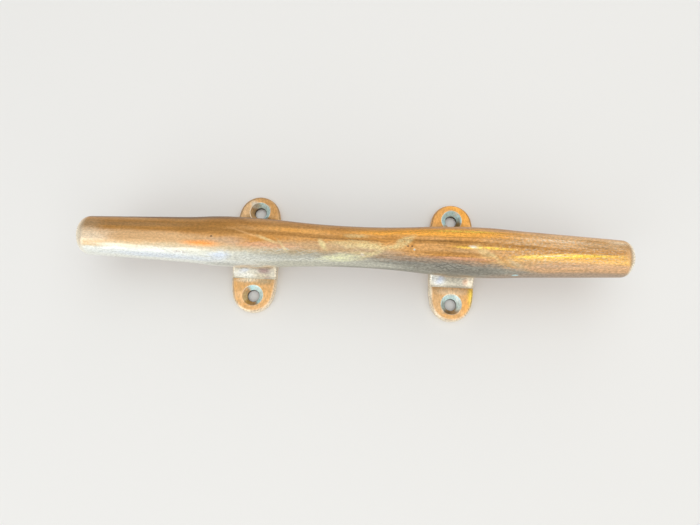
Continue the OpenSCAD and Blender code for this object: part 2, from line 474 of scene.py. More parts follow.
@dataclass(frozen=True)
class Leg:
    """One short leg: a stem with a toe in front and behind, and a saddle round the bar."""

    bar: HornBar
    foot: "Foot"
    half_depth: float = 8.0
    saddle_r: float = 3.0
    toe_edge_r: float = 1.2
    stem_edge_r: float = 2.2
    # How far the saddle's thin edge is sunk into the bar, and how far the leg's end is
    sink: float = 0.04
    bury: float = 2.0
    # Least height of the plain stem between toe and saddle
    gap: float = 0.3
    corner_points: int = 8
    face_points: int = 46
    side_points: int = 26
    toe_points: int = 26
    stem_points: int = 8
    saddle_points: int = 14
    rounds: int = 3

    @cached_property
    def columns(self) -> tuple[Array, Array, Array, Array]:
        """Runs once round the stem.

        Each face goes from edge to edge, and each side goes from face to face.

        Returns:
            Share of the way across a face, sine and cosine of the angle on a rounded edge,
            and share of the way from the back face, at 1, to the front face, at -1.
        """
        corner = np.linspace(QUARTER, 0, self.corner_points)
        flat = np.linspace(1, -1, self.face_points)[1:-1]
        wall = np.linspace(1, -1, self.side_points)[1:-1]
        end = np.ones(corner.size)
        share = np.concatenate([end, flat, -end])
        sine = np.concatenate([np.sin(corner), 0 * flat, -np.sin(corner[::-1])])
        cosine = np.concatenate([np.cos(corner), 0 * flat + 1, np.cos(corner[::-1])])
        one, none = np.ones(wall.size), np.zeros(wall.size)
        return (
            np.concatenate([share, -one, -share, one]),
            np.concatenate([sine, -one, -sine, one]),
            np.concatenate([cosine, none, cosine, none]),
            np.concatenate([0 * share + 1, wall, 0 * share - 1, -wall]),
        )

    def toe_rows(self) -> tuple[Array, Array]:
        """Toe and stem up to the top of the toe.

        The face follows a quarter circle that starts flat on the foot and ends upright. At
        its edges it is rounded: it drops along its own normal by edge radius times one less
        the cosine of the edge's angle.

        Returns:
            Points by row and column, and the share of the quarter circle, from 0 to 1.
        """
        share, sine, cosine, face = self.columns
        turn = np.linspace(0, QUARTER, self.toe_points)[:, None]
        toe_r = self.foot.toe_y - self.half_depth
        edge = self.toe_edge_r + (self.stem_edge_r - self.toe_edge_r) * np.sin(turn) ** 2
        reach = self.half_depth + toe_r * (1 - np.sin(turn))
        height = self.foot.thickness + toe_r * (1 - np.cos(turn))
        drop = edge * (1 - cosine)
        x = (self.foot.half_width - edge) * share + edge * sine
        y = face * (reach - np.sin(turn) * drop)
        z = height - np.cos(turn) * drop
        return np.stack([x, y, z], -1), np.broadcast_to(turn / QUARTER, z.shape)

    def lower(self, toe: Array, ceiling: Array) -> Array:
        """Presses the rows of the toe down where the saddle starts below the toe's top.

        Heights above the toe's foot shrink by one factor in each column.

        Args:
            toe: Points by row and column.
            ceiling: Height at which each column has to end.

        Returns:
            The points with their new heights.
        """
        base, top = toe[0, :, 2], toe[-1, :, 2]
        factor = (np.minimum(top, ceiling) - base) / (top - base)
        height = base + (toe[:, :, 2] - base) * factor
        return np.concatenate([toe[:, :, :2], height[:, :, None]], axis=-1)

    def saddle_rows(self) -> Array:
        """Fillet between the stem and the bar.

        A ball of the fillet's radius rolls round the stem and touches the bar. Each column is
        the arc on the ball from its touch on the stem to its touch on the bar, and goes on
        for a millimetre into the bar.

        Returns:
            Points by row and column. The last row lies inside the bar.
        """
        share, sine, cosine, face = self.columns
        edge, ball = self.stem_edge_r, self.saddle_r
        stem_x = (self.foot.half_width - edge) * share + edge * sine
        stem_y = face * (self.half_depth - edge * (1 - cosine))
        normal = unit(np.stack([sine, cosine * face, 0 * sine], -1))
        ball_x = stem_x + ball * normal[:, 0]
        ball_y = stem_y + ball * normal[:, 1]
        bar_x = ball_x + self.foot.middle_x
        reach = np.interp(bar_x, self.bar.outline[:, 0], self.bar.outline[:, 1])
        # Each round reads the bar's radius where the round before has the ball touch it
        for _ in range(self.rounds):
            down = np.sqrt((reach + ball - self.sink) ** 2 - ball_y ** 2)
            reach = self.bar.surface_radius(bar_x, np.arctan2(-down, ball_y))
        middle = np.stack([ball_x, ball_y, self.bar.axis_z - down], -1)
        toward = unit(np.stack([0 * ball_y, -ball_y, down], -1))
        spread = np.arccos(np.sum(-normal * toward, axis=-1))[None, :, None]
        part = np.linspace(0, 1, self.saddle_points)[:, None, None]
        near = np.sin((1 - part) * spread) / np.sin(spread) * -normal
        far = np.sin(part * spread) / np.sin(spread) * toward
        rows = middle + ball * (near + far)
        return np.concatenate([rows, rows[-1:] + toward], axis=0)

    def make(self) -> bpy.types.Object:
        """Joins toe, stem and saddle, and closes the leg inside the foot and inside the bar.

        The mask of a rounded edge is twice sine times cosine of its angle, so 1 in its middle.

        Returns:
            The leg's object.
        """
        skin = Skin(f"cast_{self.foot.side.word}_leg")
        toe, climb = self.toe_rows()
        saddle = self.saddle_rows()
        toe = self.lower(toe, saddle[0, :, 2] - self.gap)
        part = np.linspace(0, 1, self.stem_points)[1:-1, None, None]
        stem = toe[-1:] * (1 - part) + saddle[:1] * part
        grid = np.concatenate([toe, stem, saddle]) + (self.foot.middle_x, 0, 0)
        climb = np.pad(climb, ((0, len(stem) + len(saddle)), (0, 0)), constant_values=1)
        _, sine, cosine, _ = self.columns
        number = skin.add_grid(grid, closed=True, rim=2 * np.abs(sine) * cosine, climb=climb)
        low, high = self.foot.thickness - self.toe_edge_r, self.bar.axis_z - self.bar.shoulder_r
        skin.add_cap(number[0], (self.foot.middle_x, 0, low))
        skin.add_cap(number[-1], (self.foot.middle_x, 0, high + self.bury))
        return skin.make()


@dataclass(frozen=True)
class Foot:
    """One flat oval foot with two countersunk screw holes. Sizes in millimetres."""

    side: Side
    middle_x: float
    half_width: float
    half_length: float
    thickness: float
    toe_y: float = 15.5
    taper: float = 0.9
    rim_r: float = 1.6
    sole_r: float = 0.3
    hole_y: float = 25.2
    hole_r: float = 3.35
    sink_r: float = 6.0
    sink_half_angle: float = math.radians(41)
    lip_r: float = 0.5
    step: float = 0.5
    side_points: int = 32
    wall_points: int = 5
    cone_points: int = 9
    rim_points: int = 9
    edge_points: int = 7
    across_points: int = 42
    span_points: int = 11
    # Above 1, the rows between hole and outline lie closer together near the hole
    crowding: float = 1.3
    # How tarnished a hole is at the bottom of its bore and where its lip begins
    bore_tarnish: float = 0.3
    lip_tarnish: float = 0.9
    # Polishing and painted highlight of the rim's flank, and the power by which they come on over
    # the rounded edge
    flank_sheen: float = 0.85
    polish_and_sheen_curve: float = 1.1
    # Direction from which a countersink takes its pale painted highlight, and the power by which
    # that fades
    glow: dict[Side, float] = field(
        default_factory=lambda: {Side.LEFT: math.radians(30), Side.RIGHT: math.radians(95)})
    glow_spread: dict[Side, float] = field(
        default_factory=lambda: {Side.LEFT: 1.0, Side.RIGHT: 0.5})
    # How much polishing and painted highlight the rim has on the far half, 1, and on the near half,
    # -1
    polish_and_sheen: dict[int, float] = field(default_factory=lambda: {1: 0.15, -1: 1.0})

    @classmethod
    def from_frame(cls, side: Side) -> "Foot":
        """Takes place, width, length and thickness from the CAD node's box.

        Args:
            side: Which foot.

        Returns:
            The foot.
        """
        low, high = box_of(f"{side.word}_foot")
        return cls(side, middle_x=(low[0] + high[0]) / 2, half_width=(high[0] - low[0]) / 2,
                   half_length=high[1], thickness=high[2])

    @property
    def end_r(self) -> float:
        """Radius of the round ends, seen from above."""
        return self.half_width - self.taper

    @property
    def end_y(self) -> float:
        """Distance from the foot's middle to the middle of a round end."""
        return self.half_length - self.end_r

    def track(self) -> tuple[Array, Array]:
        """Outline of half a foot from above, from its right side round the end to the left.

        A straight side runs on into a long arc, which touches both the side and the round
        end. Its radius follows from the two touches.

        Returns:
            Points and outward normals, one row each.
        """
        wide, deep = self.half_width, self.end_y - self.toe_y
        flank_r = (wide ** 2 + deep ** 2 - self.end_r ** 2) / (2 * self.taper)
        turn = math.atan2(deep, flank_r - wide)
        rise = np.linspace(0, self.toe_y, self.side_points)[:-1]
        straight = np.stack([0 * rise + wide, rise], axis=1)
        flank_centre = (wide - flank_r, self.toe_y)
        flank = arc(flank_centre, flank_r, 0, turn, self.step)
        end = arc((0, self.end_y), self.end_r, turn, QUARTER, self.step)[1:]
        quarter = np.concatenate([straight, flank, end])
        normal = np.concatenate([
            0 * straight + (1, 0),
            (flank - flank_centre) / flank_r,
            (end - (0, self.end_y)) / self.end_r,
        ])
        mirror = (-1, 1)
        return (np.concatenate([quarter, quarter[-2::-1] * mirror]),
                np.concatenate([normal, normal[-2::-1] * mirror]))

    def hole_profile(self) -> tuple[Array, dict[str, Array]]:
        """Wall of a screw hole from the underside up to the foot's upper face.

        The countersink's cone runs into the upper face over a small rounded lip.

        Returns:
            Radius and height of each row, and from 0 to 1 how far it is in the countersink,
            on the lip and in the bore.
        """
        slope = QUARTER - self.sink_half_angle
        lip_x = self.sink_r + self.lip_r * math.tan(slope / 2)
        lip = arc((lip_x, self.thickness - self.lip_r), self.lip_r, QUARTER + slope, QUARTER,
                  self.lip_r)
        neck_z = self.thickness - (self.sink_r - self.hole_r) / math.tan(self.sink_half_angle)
        foot, neck = (self.hole_r, self.sole_r), (self.hole_r, neck_z)
        low = np.array([[self.hole_r + self.sole_r, 0], foot])
        wall = np.linspace(foot, neck, self.wall_points)[1:]
        cone = np.linspace(neck, lip[0], self.cone_points)[1:-1]
        below, above = len(low) + len(wall), len(cone) + len(lip)
        darkening = np.linspace(self.bore_tarnish, 1, len(wall))
        fading = np.linspace(self.lip_tarnish, 0, len(lip))
        crest = np.sin(np.linspace(0, math.pi, len(lip)))
        return np.concatenate([low, wall, cone, lip]), {
            "sunk": np.concatenate([0 * low[:, 0], darkening, np.ones(len(cone)), fading]),
            "rim": np.concatenate([np.zeros(below + len(cone)), crest]),
            "bore": np.concatenate([np.ones(below), np.zeros(above)]),
        }

    def inner_rows(self, track: Array, normal: Array) -> tuple[Array, dict[str, Array], Array]:
        """Far half of the foot without its rim.

        A column goes straight from the outline below to the screw hole, up the hole's wall,
        and straight to the outline above. Where the two halves meet, across the middle of the
        foot, they share their points.

        Args:
            track: Outline of the half.
            normal: Its outward normals.

        Returns:
            Points by row and column, masks by row, and each column's direction from the hole.
        """
        hole = (0, self.hole_y)
        across = np.linspace(-1, 1, self.across_points)[1:-1, None] * (1, 0)
        aim = unit(np.concatenate([track, across * self.half_width]) - hole)
        above, below = (np.concatenate([track - normal * inset, across * (self.half_width - inset)])
                        for inset in (self.rim_r, self.sole_r))
        above = np.pad(above, ((0, 0), (0, 1)), constant_values=self.thickness)
        below = np.pad(below, ((0, 0), (0, 1)))
        profile, masks = self.hole_profile()
        wall = lift(hole + aim * profile[:, :1, None], profile[:, 1])
        part = (np.linspace(0, 1, self.span_points)[1:] ** self.crowding)[:, None, None]
        back = part[::-1]
        top = wall[-1] * (1 - part) + above * part
        low = below * back + wall[0] * (1 - back)
        masks = {name: np.pad(mask, (len(low), len(top)))[:, None] for name, mask in masks.items()}
        return np.concatenate([low, wall, top]), masks, aim

    def outer_rows(self, track: Array, normal: Array) -> tuple[Array, Array]:
        """Rim of the far half: a rounded upper edge, an upright flank and a fine lower edge.

        The lower edge takes every second angle of the upper one.

        Args:
            track: Outline of the half.
            normal: Its outward normals.

        Returns:
            Points by row and column, and by row how much polishing and painted highlight they take.
        """
        turn = np.linspace(0, QUARTER, self.rim_points)
        fine = turn[::2]
        height = self.thickness - self.rim_r
        flank = np.linspace(height, self.sole_r, self.edge_points)[1:-1]
        inset = np.concatenate([self.rim_r * (1 - np.sin(turn)), 0 * flank,
                                self.sole_r * (1 - np.cos(fine))])
        level = np.concatenate([height + self.rim_r * np.cos(turn), flank,
                                self.sole_r * (1 - np.sin(fine))])
        polish_and_sheen = np.concatenate([np.sin(turn) ** self.polish_and_sheen_curve,
                                 np.full(flank.size + fine.size, self.flank_sheen)])
        return lift(track - normal * inset[:, None, None], level), polish_and_sheen[:, None]

    def make(self) -> bpy.types.Object:
        """Puts the foot together from its far half and the same rows turned over as near half.

        Returns:
            The foot's object.
        """
        skin = Skin(f"cast_{self.side.word}_foot")
        track, normal = self.track()
        inner, masks, aim = self.inner_rows(track, normal)
        outer, rim_sheen = self.outer_rows(track, normal)
        glow, middle = self.glow[self.side], (self.middle_x, 0, 0)
        # The near half's rim takes the full painted highlight and the far half's little
        for half, polish_and_sheen in self.polish_and_sheen.items():
            facing = aim[:, 0] * math.cos(glow) + half * aim[:, 1] * math.sin(glow)
            lit = np.clip(0.5 + 0.5 * facing, 0, 1) ** self.glow_spread[self.side]
            mirror = (1, half, 1)
            skin.add_grid(inner * mirror + middle, closed=True, lit=lit[None, :], **masks)
            skin.add_grid(outer * mirror + middle, closed=False, rim=rim_sheen * polish_and_sheen)
        return skin.make()


class Net:
    """Adds nodes to one tree and joins each to what it is given."""

    def __init__(self, tree: Group) -> None:
        """Takes the node tree of a material or a group."""
        self.tree = tree

    def add(self, kind: str, **settings: object) -> bpy.types.Node:
        """Adds a node and sets its properties.

        Args:
            kind: Blender's name for the kind of node.
            **settings: Properties and their values.

        Returns:
            The new node.
        """
        node = self.tree.nodes.new(kind)
        for name, value in settings.items():
            setattr(node, name, value)
        return node

    def put(self, socket: Socket, value: object) -> None:
        """Links a socket to a value that is a socket too, and writes down any other value.

        Args:
            socket: The input to fill.
            value: What goes in.
        """
        if isinstance(value, Socket):
            self.tree.links.new(value, socket)
        else:
            socket.default_value = value

    def fill(self, node: bpy.types.Node, **values: object) -> bpy.types.Node:
        """Fills a node's inputs by name.

        Args:
            node: The node.
            **values: Each input's value, with the spaces of its name as underscores.

        Returns:
            The same node.
        """
        for name, value in values.items():
            self.put(node.inputs[name.replace("_", " ")], value)
        return node

    def feed(self, node: bpy.types.Node, *values: object, first: int = 0) -> bpy.types.Node:
        """Fills a node's inputs in their order.

        Args:
            node: The node.
            *values: The inputs' values.
            first: Number of the input that the first value goes into.

        Returns:
            The same node.
        """
        for socket, value in zip(list(node.inputs)[first:], values):
            self.put(socket, value)
        return node

    def use(self, group: Group, **values: object) -> bpy.types.Node:
        """Places a group and fills its inputs."""
        return self.fill(self.add("ShaderNodeGroup", node_tree=group), **values)

    def attribute(self, name: str) -> Socket:
        """Value of one of the mesh's own masks."""
        return self.add("ShaderNodeAttribute", attribute_name=name).outputs["Fac"]

    def math(self, op: Op, first: object, second: object) -> Socket:
        """Result of a sum on two numbers."""
        return self.feed(self.add("ShaderNodeMath", operation=op.value), first, second).outputs[0]

    def plus(self, first: object, second: object) -> Socket:
        """First number plus the second."""
        return self.math(Op.ADD, first, second)

    def minus(self, first: object, second: object) -> Socket:
        """First number less the second."""
        return self.math(Op.SUBTRACT, first, second)

    def times(self, first: object, second: object) -> Socket:
        """First number times the second."""
        return self.math(Op.MULTIPLY, first, second)

    def vector(self, op: VectorOp, *values: object) -> Socket:
        """Result of a sum on vectors, which is a number for a length."""
        node = self.feed(self.add("ShaderNodeVectorMath", operation=op.value), *values)
        return node.outputs["Value" if op is VectorOp.LENGTH else "Vector"]

    def split(self, vector: Socket) -> tuple[Socket, Socket, Socket]:
        """The x, y and z of a vector."""
        return tuple(self.fill(self.add("ShaderNodeSeparateXYZ"), Vector=vector).outputs)

    def join(self, **parts: Socket) -> Socket:
        """Vector of the given X, Y and Z, with 0 for those left out."""
        return self.fill(self.add("ShaderNodeCombineXYZ"), **parts).outputs[0]

    def turn(self, vector: Socket, angle: object) -> Socket:
        """Vector turned about Z by an angle in radians."""
        node = self.add("ShaderNodeVectorRotate", rotation_type="Z_AXIS")
        return self.fill(node, Vector=vector, Angle=angle).outputs[0]

    def noise(self, place: Socket, size: object, detail: object, roughness: object) -> Socket:
        """Reads a cloudy noise.

        Args:
            place: Where it is read.
            size: Size of its lumps along each axis, in the unit of the place.
            detail: Number of its octaves.
            roughness: How much the finer octaves count.

        Returns:
            The noise.
        """
        place = self.vector(VectorOp.DIVIDE, place, size)
        return self.fill(self.add("ShaderNodeTexNoise"), Vector=place, Scale=1.0, Detail=detail,
                         Roughness=roughness).outputs[0]

    def ramp(self, value: object, low: object, high: object, start: object = 0.0,
             stop: object = 1.0) -> Socket:
        """Eases from start to stop as a value rises from low to high."""
        node = self.add("ShaderNodeMapRange", interpolation_type="SMOOTHSTEP")
        return self.feed(node, value, low, high, start, stop).outputs[0]

    def mix(self, kind: Kind, mask: object, under: object, over: object) -> Socket:
        """Goes from one value to another as a mask goes from 0 to 1.

        Args:
            kind: What is mixed.
            mask: The mask.
            under: Result where the mask is 0.
            over: Result where it is 1.

        Returns:
            The mixed value.
        """
        data, first, result = MIX_NODES[kind]
        node = self.feed(self.add("ShaderNodeMix", data_type=data), mask)
        return self.feed(node, under, over, first=first).outputs[result]


def numbers(*names: str) -> dict[str, Kind]:
    """Sockets of a group that carry numbers."""
    return dict.fromkeys(names, Kind.NUMBER)


def vectors(*names: str) -> dict[str, Kind]:
    """Sockets of a group that carry vectors."""
    return dict.fromkeys(names, Kind.VECTOR)


def new_group(name: str, inputs: dict[str, Kind],
              outputs: dict[str, Kind]) -> tuple[Net, dict[str, Socket], dict[str, Socket]]:
    """Starts a shader group with named sockets.

    Args:
        name: Name of the group.
        inputs: Kind of each input by its name.
        outputs: Kind of each output by its name.

    Returns:
        The group's net, its inputs by name, and the ends that its outputs are linked to.
    """
    tree = bpy.data.node_groups.new(name, "ShaderNodeTree")
    for direction, labels in (("INPUT", inputs), ("OUTPUT", outputs)):
        for label, kind in labels.items():
            tree.interface.new_socket(name=label, in_out=direction, socket_type=kind.value)
    net = Net(tree)
    given = net.add("NodeGroupInput")
    result = net.add("NodeGroupOutput")
    return (net, {label: given.outputs[label] for label in inputs},
            {label: result.inputs[label] for label in outputs})


@dataclass(frozen=True)
class Effects:
    """Shader groups that the three finishes share. Lengths in them are millimetres."""

    # Octaves of the fine lines, and how much the finer octaves count in each noise
    line_detail: float = 3.0
    mottle_roughness: float = 0.6
    brush_roughness: float = 0.65
    hatch_roughness: float = 0.6
    # How the crossing scratches are turned, as shares of the given angle
    hatch_share: Pair = (1.0, -0.7)

    @cached_property
    def place(self) -> Group:
        """Place on the piece in millimetres: object coordinates times a thousand.

        Returns:
            The group.
        """
        net, _, result = new_group("Place", {}, vectors("Place"))
        point = net.add("ShaderNodeTexCoord").outputs["Object"]
        net.put(result["Place"], net.vector(VectorOp.MULTIPLY, point, (1 / MM, 1 / MM, 1 / MM)))
        return net.tree

    @cached_property
    def mottle(self) -> Group:
        """Cloudy mask whose lumps have a size along each axis.

        Returns:
            The group.
        """
        net, given, result = new_group(
            "Mottle", vectors("Place", "Size") | numbers("Low", "High", "Detail"), numbers("Mask"))
        cloud = net.noise(given["Place"], given["Size"], given["Detail"], self.mottle_roughness)
        net.put(result["Mask"], net.ramp(cloud, given["Low"], given["High"]))
        return net.tree

    @cached_property
    def brushing(self) -> Group:
        """Fine lines from rubbing and polishing, long where Size is, as a value round 0.

        Returns:
            The group.
        """
        net, given, result = new_group("Brushing", vectors("Place", "Size"), numbers("Lines"))
        lines = net.noise(given["Place"], given["Size"], self.line_detail, self.brush_roughness)
        net.put(result["Lines"], net.minus(lines, NOISE_MEAN))
        return net.tree

    @cached_property
    def hatching(self) -> Group:
        """Crossing scratches: the larger of two noises, drawn out along two directions.

        Returns:
            The group.
        """
        net, given, result = new_group(
            "Hatching", vectors("Surface") | numbers("Turn", "Length", "Width"), numbers("Lines"))
        size = net.join(X=given["Length"], Y=given["Width"], Z=given["Width"])
        noises = [net.noise(net.turn(given["Surface"], net.times(given["Turn"], share)), size,
                            self.line_detail, self.hatch_roughness)
                  for share in self.hatch_share]
        net.put(result["Lines"], net.math(Op.MAXIMUM, *noises))
        return net.tree

    @cached_property
    def unroll(self) -> Group:
        """Rolls the bar's surface out flat.

        The place becomes the distance along the bar and the length of the arc from the top
        of the bar, which is the angle from the top times a mean radius.

        Returns:
            The group.
        """
        net, given, result = new_group("Unroll", vectors("Place") | numbers("Height", "Radius"),
                                       vectors("Surface"))
        x, y, z = net.split(given["Place"])
        angle = net.math(Op.ARCTANGENT, y, net.minus(z, given["Height"]))
        net.put(result["Surface"], net.join(X=x, Y=net.times(angle, given["Radius"])))
        return net.tree

    @cached_property
    def stain(self) -> Group:
        """One ragged patch: an ellipsoid, turned about Z, with an uneven edge.

        Returns:
            The group.
        """
        net, given, result = new_group(
            "Stain",
            vectors("Surface", "Middle", "Reach")
            | numbers("Turn", "Rough", "Ragged", "Soft", "Strength"),
            numbers("Mask"))
        apart = net.vector(VectorOp.SUBTRACT, given["Surface"], given["Middle"])
        shape = net.vector(VectorOp.DIVIDE, net.turn(apart, given["Turn"]), given["Reach"])
        uneven = net.times(net.minus(given["Rough"], NOISE_MEAN), given["Ragged"])
        edge = net.plus(net.vector(VectorOp.LENGTH, shape), uneven)
        inner = net.minus(1.0, given["Soft"])
        net.put(result["Mask"], net.ramp(edge, inner, 1.0, given["Strength"], 0.0))
        return net.tree

    @cached_property
    def coating(self) -> Group:
        """Lays one look over another by a mask.

        Returns:
            The group.
        """
        look = {"Colour": Kind.COLOUR} | numbers("Roughness", "Metallic")
        coat = {f"Coat {name}": kind for name, kind in look.items()}
        net, given, result = new_group("Coating", look | numbers("Mask") | coat, look)
        for name, kind in look.items():
            net.put(result[name], net.mix(kind, given["Mask"], given[name], given[f"Coat {name}"]))
        return net.tree


@dataclass(frozen=True)
class Coat:
    """A tone of the metal, or a tarnish, stain or wear that lies over it."""

    colour: Colour
    roughness: float
    metallic: float


class Patina(Enum):
    """What casting, handling and weather have left on the bronze, and painted highlights,
    reflections and shade.
    """

    # Umber: tarnish, and painted shade on the bar's far side, on the far feet by the bar and in
    # countersinks
    UMBER = Coat(tint(108, 80, 46), 0.42, 1.0)
    # Brown: tarnish, and a painted dark reflection along the bar's top and painted shade in
    # countersinks
    BROWN = Coat(tint(164, 120, 66), 0.38, 1.0)
    OCHRE = Coat(tint(206, 150, 82), 0.33, 1.0)
    AMBER = Coat(tint(234, 166, 72), 0.27, 1.0)
    GOLD = Coat(tint(222, 178, 104), 0.27, 1.0)
    HONEY = Coat(tint(240, 194, 140), 0.31, 1.0)
    BLUSH = Coat(tint(226, 184, 146), 0.34, 0.95)
    ROSE = Coat(tint(212, 162, 128), 0.36, 1.0)
    TAN = Coat(tint(210, 174, 130), 0.33, 1.0)
    FAWN = Coat(tint(188, 160, 124), 0.36, 1.0)
    SAND = Coat(tint(198, 182, 150), 0.38, 0.95)
    TAUPE = Coat(tint(180, 160, 140), 0.40, 0.90)
    COPPER = Coat(tint(246, 158, 78), 0.26, 1.0)
    # Painted glint: bright yellow that stands for lamp reflections on brushed metal and rims
    GLINT = Coat(tint(255, 218, 96), 0.20, 1.0)
    GREY = Coat(tint(164, 162, 150), 0.42, 0.85)
    SLATE = Coat(tint(118, 114, 104), 0.46, 0.85)
    # Pewter: grey tarnish, and a painted reflection on the toe fillets and countersink lips
    PEWTER = Coat(tint(208, 207, 192), 0.38, 0.85)
    # Silver: partly rubbed metal, partly a painted reflection of the near window and painted
    # highlights on rims, tips and countersinks
    SILVER = Coat(tint(246, 248, 240), 0.32, 0.75)
    # Ice: a painted reflection of the blue sky on the bar's near side and the toes
    ICE = Coat(tint(212, 224, 244), 0.34, 0.70)
    CHALK = Coat(tint(232, 216, 158), 0.60, 0.25)
    LIME = Coat(tint(234, 234, 188), 0.60, 0.20)
    # Cream: painted highlights on rims, tips and glint lines, and pale scratches
    CREAM = Coat(tint(255, 244, 220), 0.28, 0.45)
    # Mauve: on the left toe a painted dark reflection
    MAUVE = Coat(tint(160, 130, 124), 0.36, 0.90)
    # Pale verdigris; in the countersinks partly a painted highlight on their lit side
    VERDIGRIS = Coat(tint(204, 246, 250), 0.42, 0.15)
    CRUST = Coat(tint(206, 164, 114), 0.55, 0.45)
    # Pits in the bar, and painted shade on the walls of the screw holes
    PIT = Coat(tint(78, 64, 48), 0.60, 0.30)


@dataclass(frozen=True)
class Mark:
    """One patch of a coat. Places in millimetres, on the bar those of its surface rolled out."""

    patina: Patina
    middle: Triple
    reach: Triple
    strength: float
    turn: float = 0.0
    ragged: float = 0.6
    soft: float = 0.8
    broken: float = 0.0
    breaks: Break = Break.SPECKLED
    deep: float = 0.0


@dataclass(frozen=True)
class Grain:
    """A cloudy noise: size of its lumps in millimetres, its octaves and how much they count."""

    size: Triple
    detail: float
    roughness: float

    def read(self, net: Net, place: Socket) -> Socket:
        """The noise at a place."""
        return net.noise(place, self.size, self.detail, self.roughness)


@dataclass
class Canvas:
    """A material in the making.

    It holds its net, where marks and where patterns are read, what makes the marks' edges
    uneven and what breaks them up, and what the surface shows so far: colour, roughness,
    metallic share and relief. Lengths are millimetres.
    """

    net: Net
    surface: Socket
    pattern: Socket
    rough: Socket
    breaks: dict[Break, Socket]
    colour: object
    roughness: object
    metallic: object = 1.0
    relief: object = 0.0


@dataclass(frozen=True)
class Bronze:
    """Worn cast bronze. Each kind of piece adds its own stains and wear to it, and painted light
    and shade.
    """

    effects: Effects
    slot: str = "bronze"
    gold: Colour = tint(192, 138, 74)
    tan: Colour = tint(202, 154, 98)
    brown: Colour = tint(164, 118, 64)
    roughness: float = 0.34
    cloud_size: Triple = (26.0, 9.0, 9.0)
    cloud_range: Pair = (0.38, 0.64)
    streak_size: Triple = (38.0, 2.6, 2.6)
    streak_range: Pair = (0.50, 0.72)
    streak_strength: float = 0.4
    mottle_detail: float = 3.0
    # What makes edges uneven, and how much of the grit is in it
    rag: Grain = Grain((12.0, 3.5, 3.5), 5.0, 0.62)
    grit: Grain = Grain((1.7, 0.8, 0.8), 4.0, 0.70)
    grit_share: float = 0.45
    hatch_turn: float = math.radians(24)
    hatch_length: float = 9.0
    hatch_width: float = 0.6
    # Rise of the level at which a pattern breaks a mark, as broken goes from 0 to 1
    break_rise: float = 0.5
    # Brushed lines: size, usual swing, its shades, their strength, and share in the roughness
    # and in the relief
    brush_size: Triple = (12.0, 0.6, 0.6)
    line_swing: Pair = (-0.20, 0.20)
    line_shade: Pair = (-0.10, 0.09)
    line_wear: float = 1.0
    line_roughness: float = 0.3
    line_depth: float = 0.012
    # Specks: the same, but for the roughness
    speckle: Grain = Grain((1.6, 1.0, 1.0), 4.0, 0.68)
    speck_swing: Pair = (0.32, 0.68)
    speck_shade: Pair = (-0.24, 0.22)
    speck_wear: float = 1.0
    speck_depth: float = 0.008

    def mark_place(self, net: Net, place: Socket) -> Socket:
        """Where the marks are read: the place itself."""
        return place

    def pattern_place(self, net: Net, place: Socket, surface: Socket) -> Socket:
        """Where grain and broken edges are read: with the marks."""
        return surface

    def wear(self, canvas: Canvas) -> tuple[object, object]:
        """How strongly brushed lines and specks show: the same all over."""
        return self.line_wear, self.speck_wear

    def tones(self) -> tuple[Mark, ...]:
        """Broad tones of the metal, below everything else. Plain bronze has none."""
        return ()

    def marks(self) -> tuple[Mark, ...]:
        """Marks on top of everything else. Plain bronze has none."""
        return ()

    def dress(self, canvas: Canvas) -> None:
        """Adds what follows the mesh's own masks. Plain bronze has nothing."""

    def start(self, net: Net) -> Canvas:
        """Bare metal with clouds of tan over gold and brown streaks, and its patterns.

        Args:
            net: The material's net.

        Returns:
            The material in the making.
        """
        place = net.use(self.effects.place).outputs[0]
        surface = self.mark_place(net, place)
        pattern = self.pattern_place(net, place, surface)
        grit = self.grit.read(net, pattern)
        rough = net.mix(Kind.NUMBER, self.grit_share, self.rag.read(net, pattern), grit)
        hatch = net.use(self.effects.hatching, Surface=pattern, Turn=self.hatch_turn,
                        Length=self.hatch_length, Width=self.hatch_width)
        clouds, streaks = (
            net.use(self.effects.mottle, Place=pattern, Size=size, Low=low, High=high,
                    Detail=self.mottle_detail).outputs[0]
            for size, (low, high) in ((self.cloud_size, self.cloud_range),
                                      (self.streak_size, self.streak_range)))
        colour = net.mix(Kind.COLOUR, clouds, self.gold, self.tan)
        streak = net.times(streaks, self.streak_strength)
        return Canvas(net, surface, pattern, rough,
                      {Break.SPECKLED: grit, Break.SCRATCHED: hatch.outputs[0]},
                      net.mix(Kind.COLOUR, streak, colour, self.brown), self.roughness)

    def coat(self, canvas: Canvas, mask: Socket, patina: Patina) -> None:
        """Lays a coat over what is there.

        Args:
            canvas: The material in the making.
            mask: Where the coat lies.
            patina: The coat.
        """
        coat = patina.value
        node = canvas.net.use(
            self.effects.coating, Mask=mask, Colour=canvas.colour, Roughness=canvas.roughness,
            Metallic=canvas.metallic, Coat_Colour=coat.colour, Coat_Roughness=coat.roughness,
            Coat_Metallic=coat.metallic)
        canvas.colour, canvas.roughness, canvas.metallic = node.outputs

    def lay(self, canvas: Canvas, marks: tuple[Mark, ...]) -> None:
        """Lays marks one after the other.

        Args:
            canvas: The material in the making.
            marks: The marks, the lowest first.
        """
        net = canvas.net
        for mark in marks:
            mask = net.use(self.effects.stain, Surface=canvas.surface, Middle=mark.middle,
                           Reach=mark.reach, Turn=math.radians(mark.turn), Rough=canvas.rough,
                           Ragged=mark.ragged, Soft=mark.soft, Strength=mark.strength).outputs[0]
            if mark.broken:
                level, blur = mark.breaks.value
                level += self.break_rise * mark.broken
                kept = net.ramp(canvas.breaks[mark.breaks], level - blur, level + blur)
                mask = net.times(mask, kept)
            self.coat(canvas, mask, mark.patina)
            if mark.deep:
                canvas.relief = net.minus(canvas.relief, net.times(mask, mark.deep))

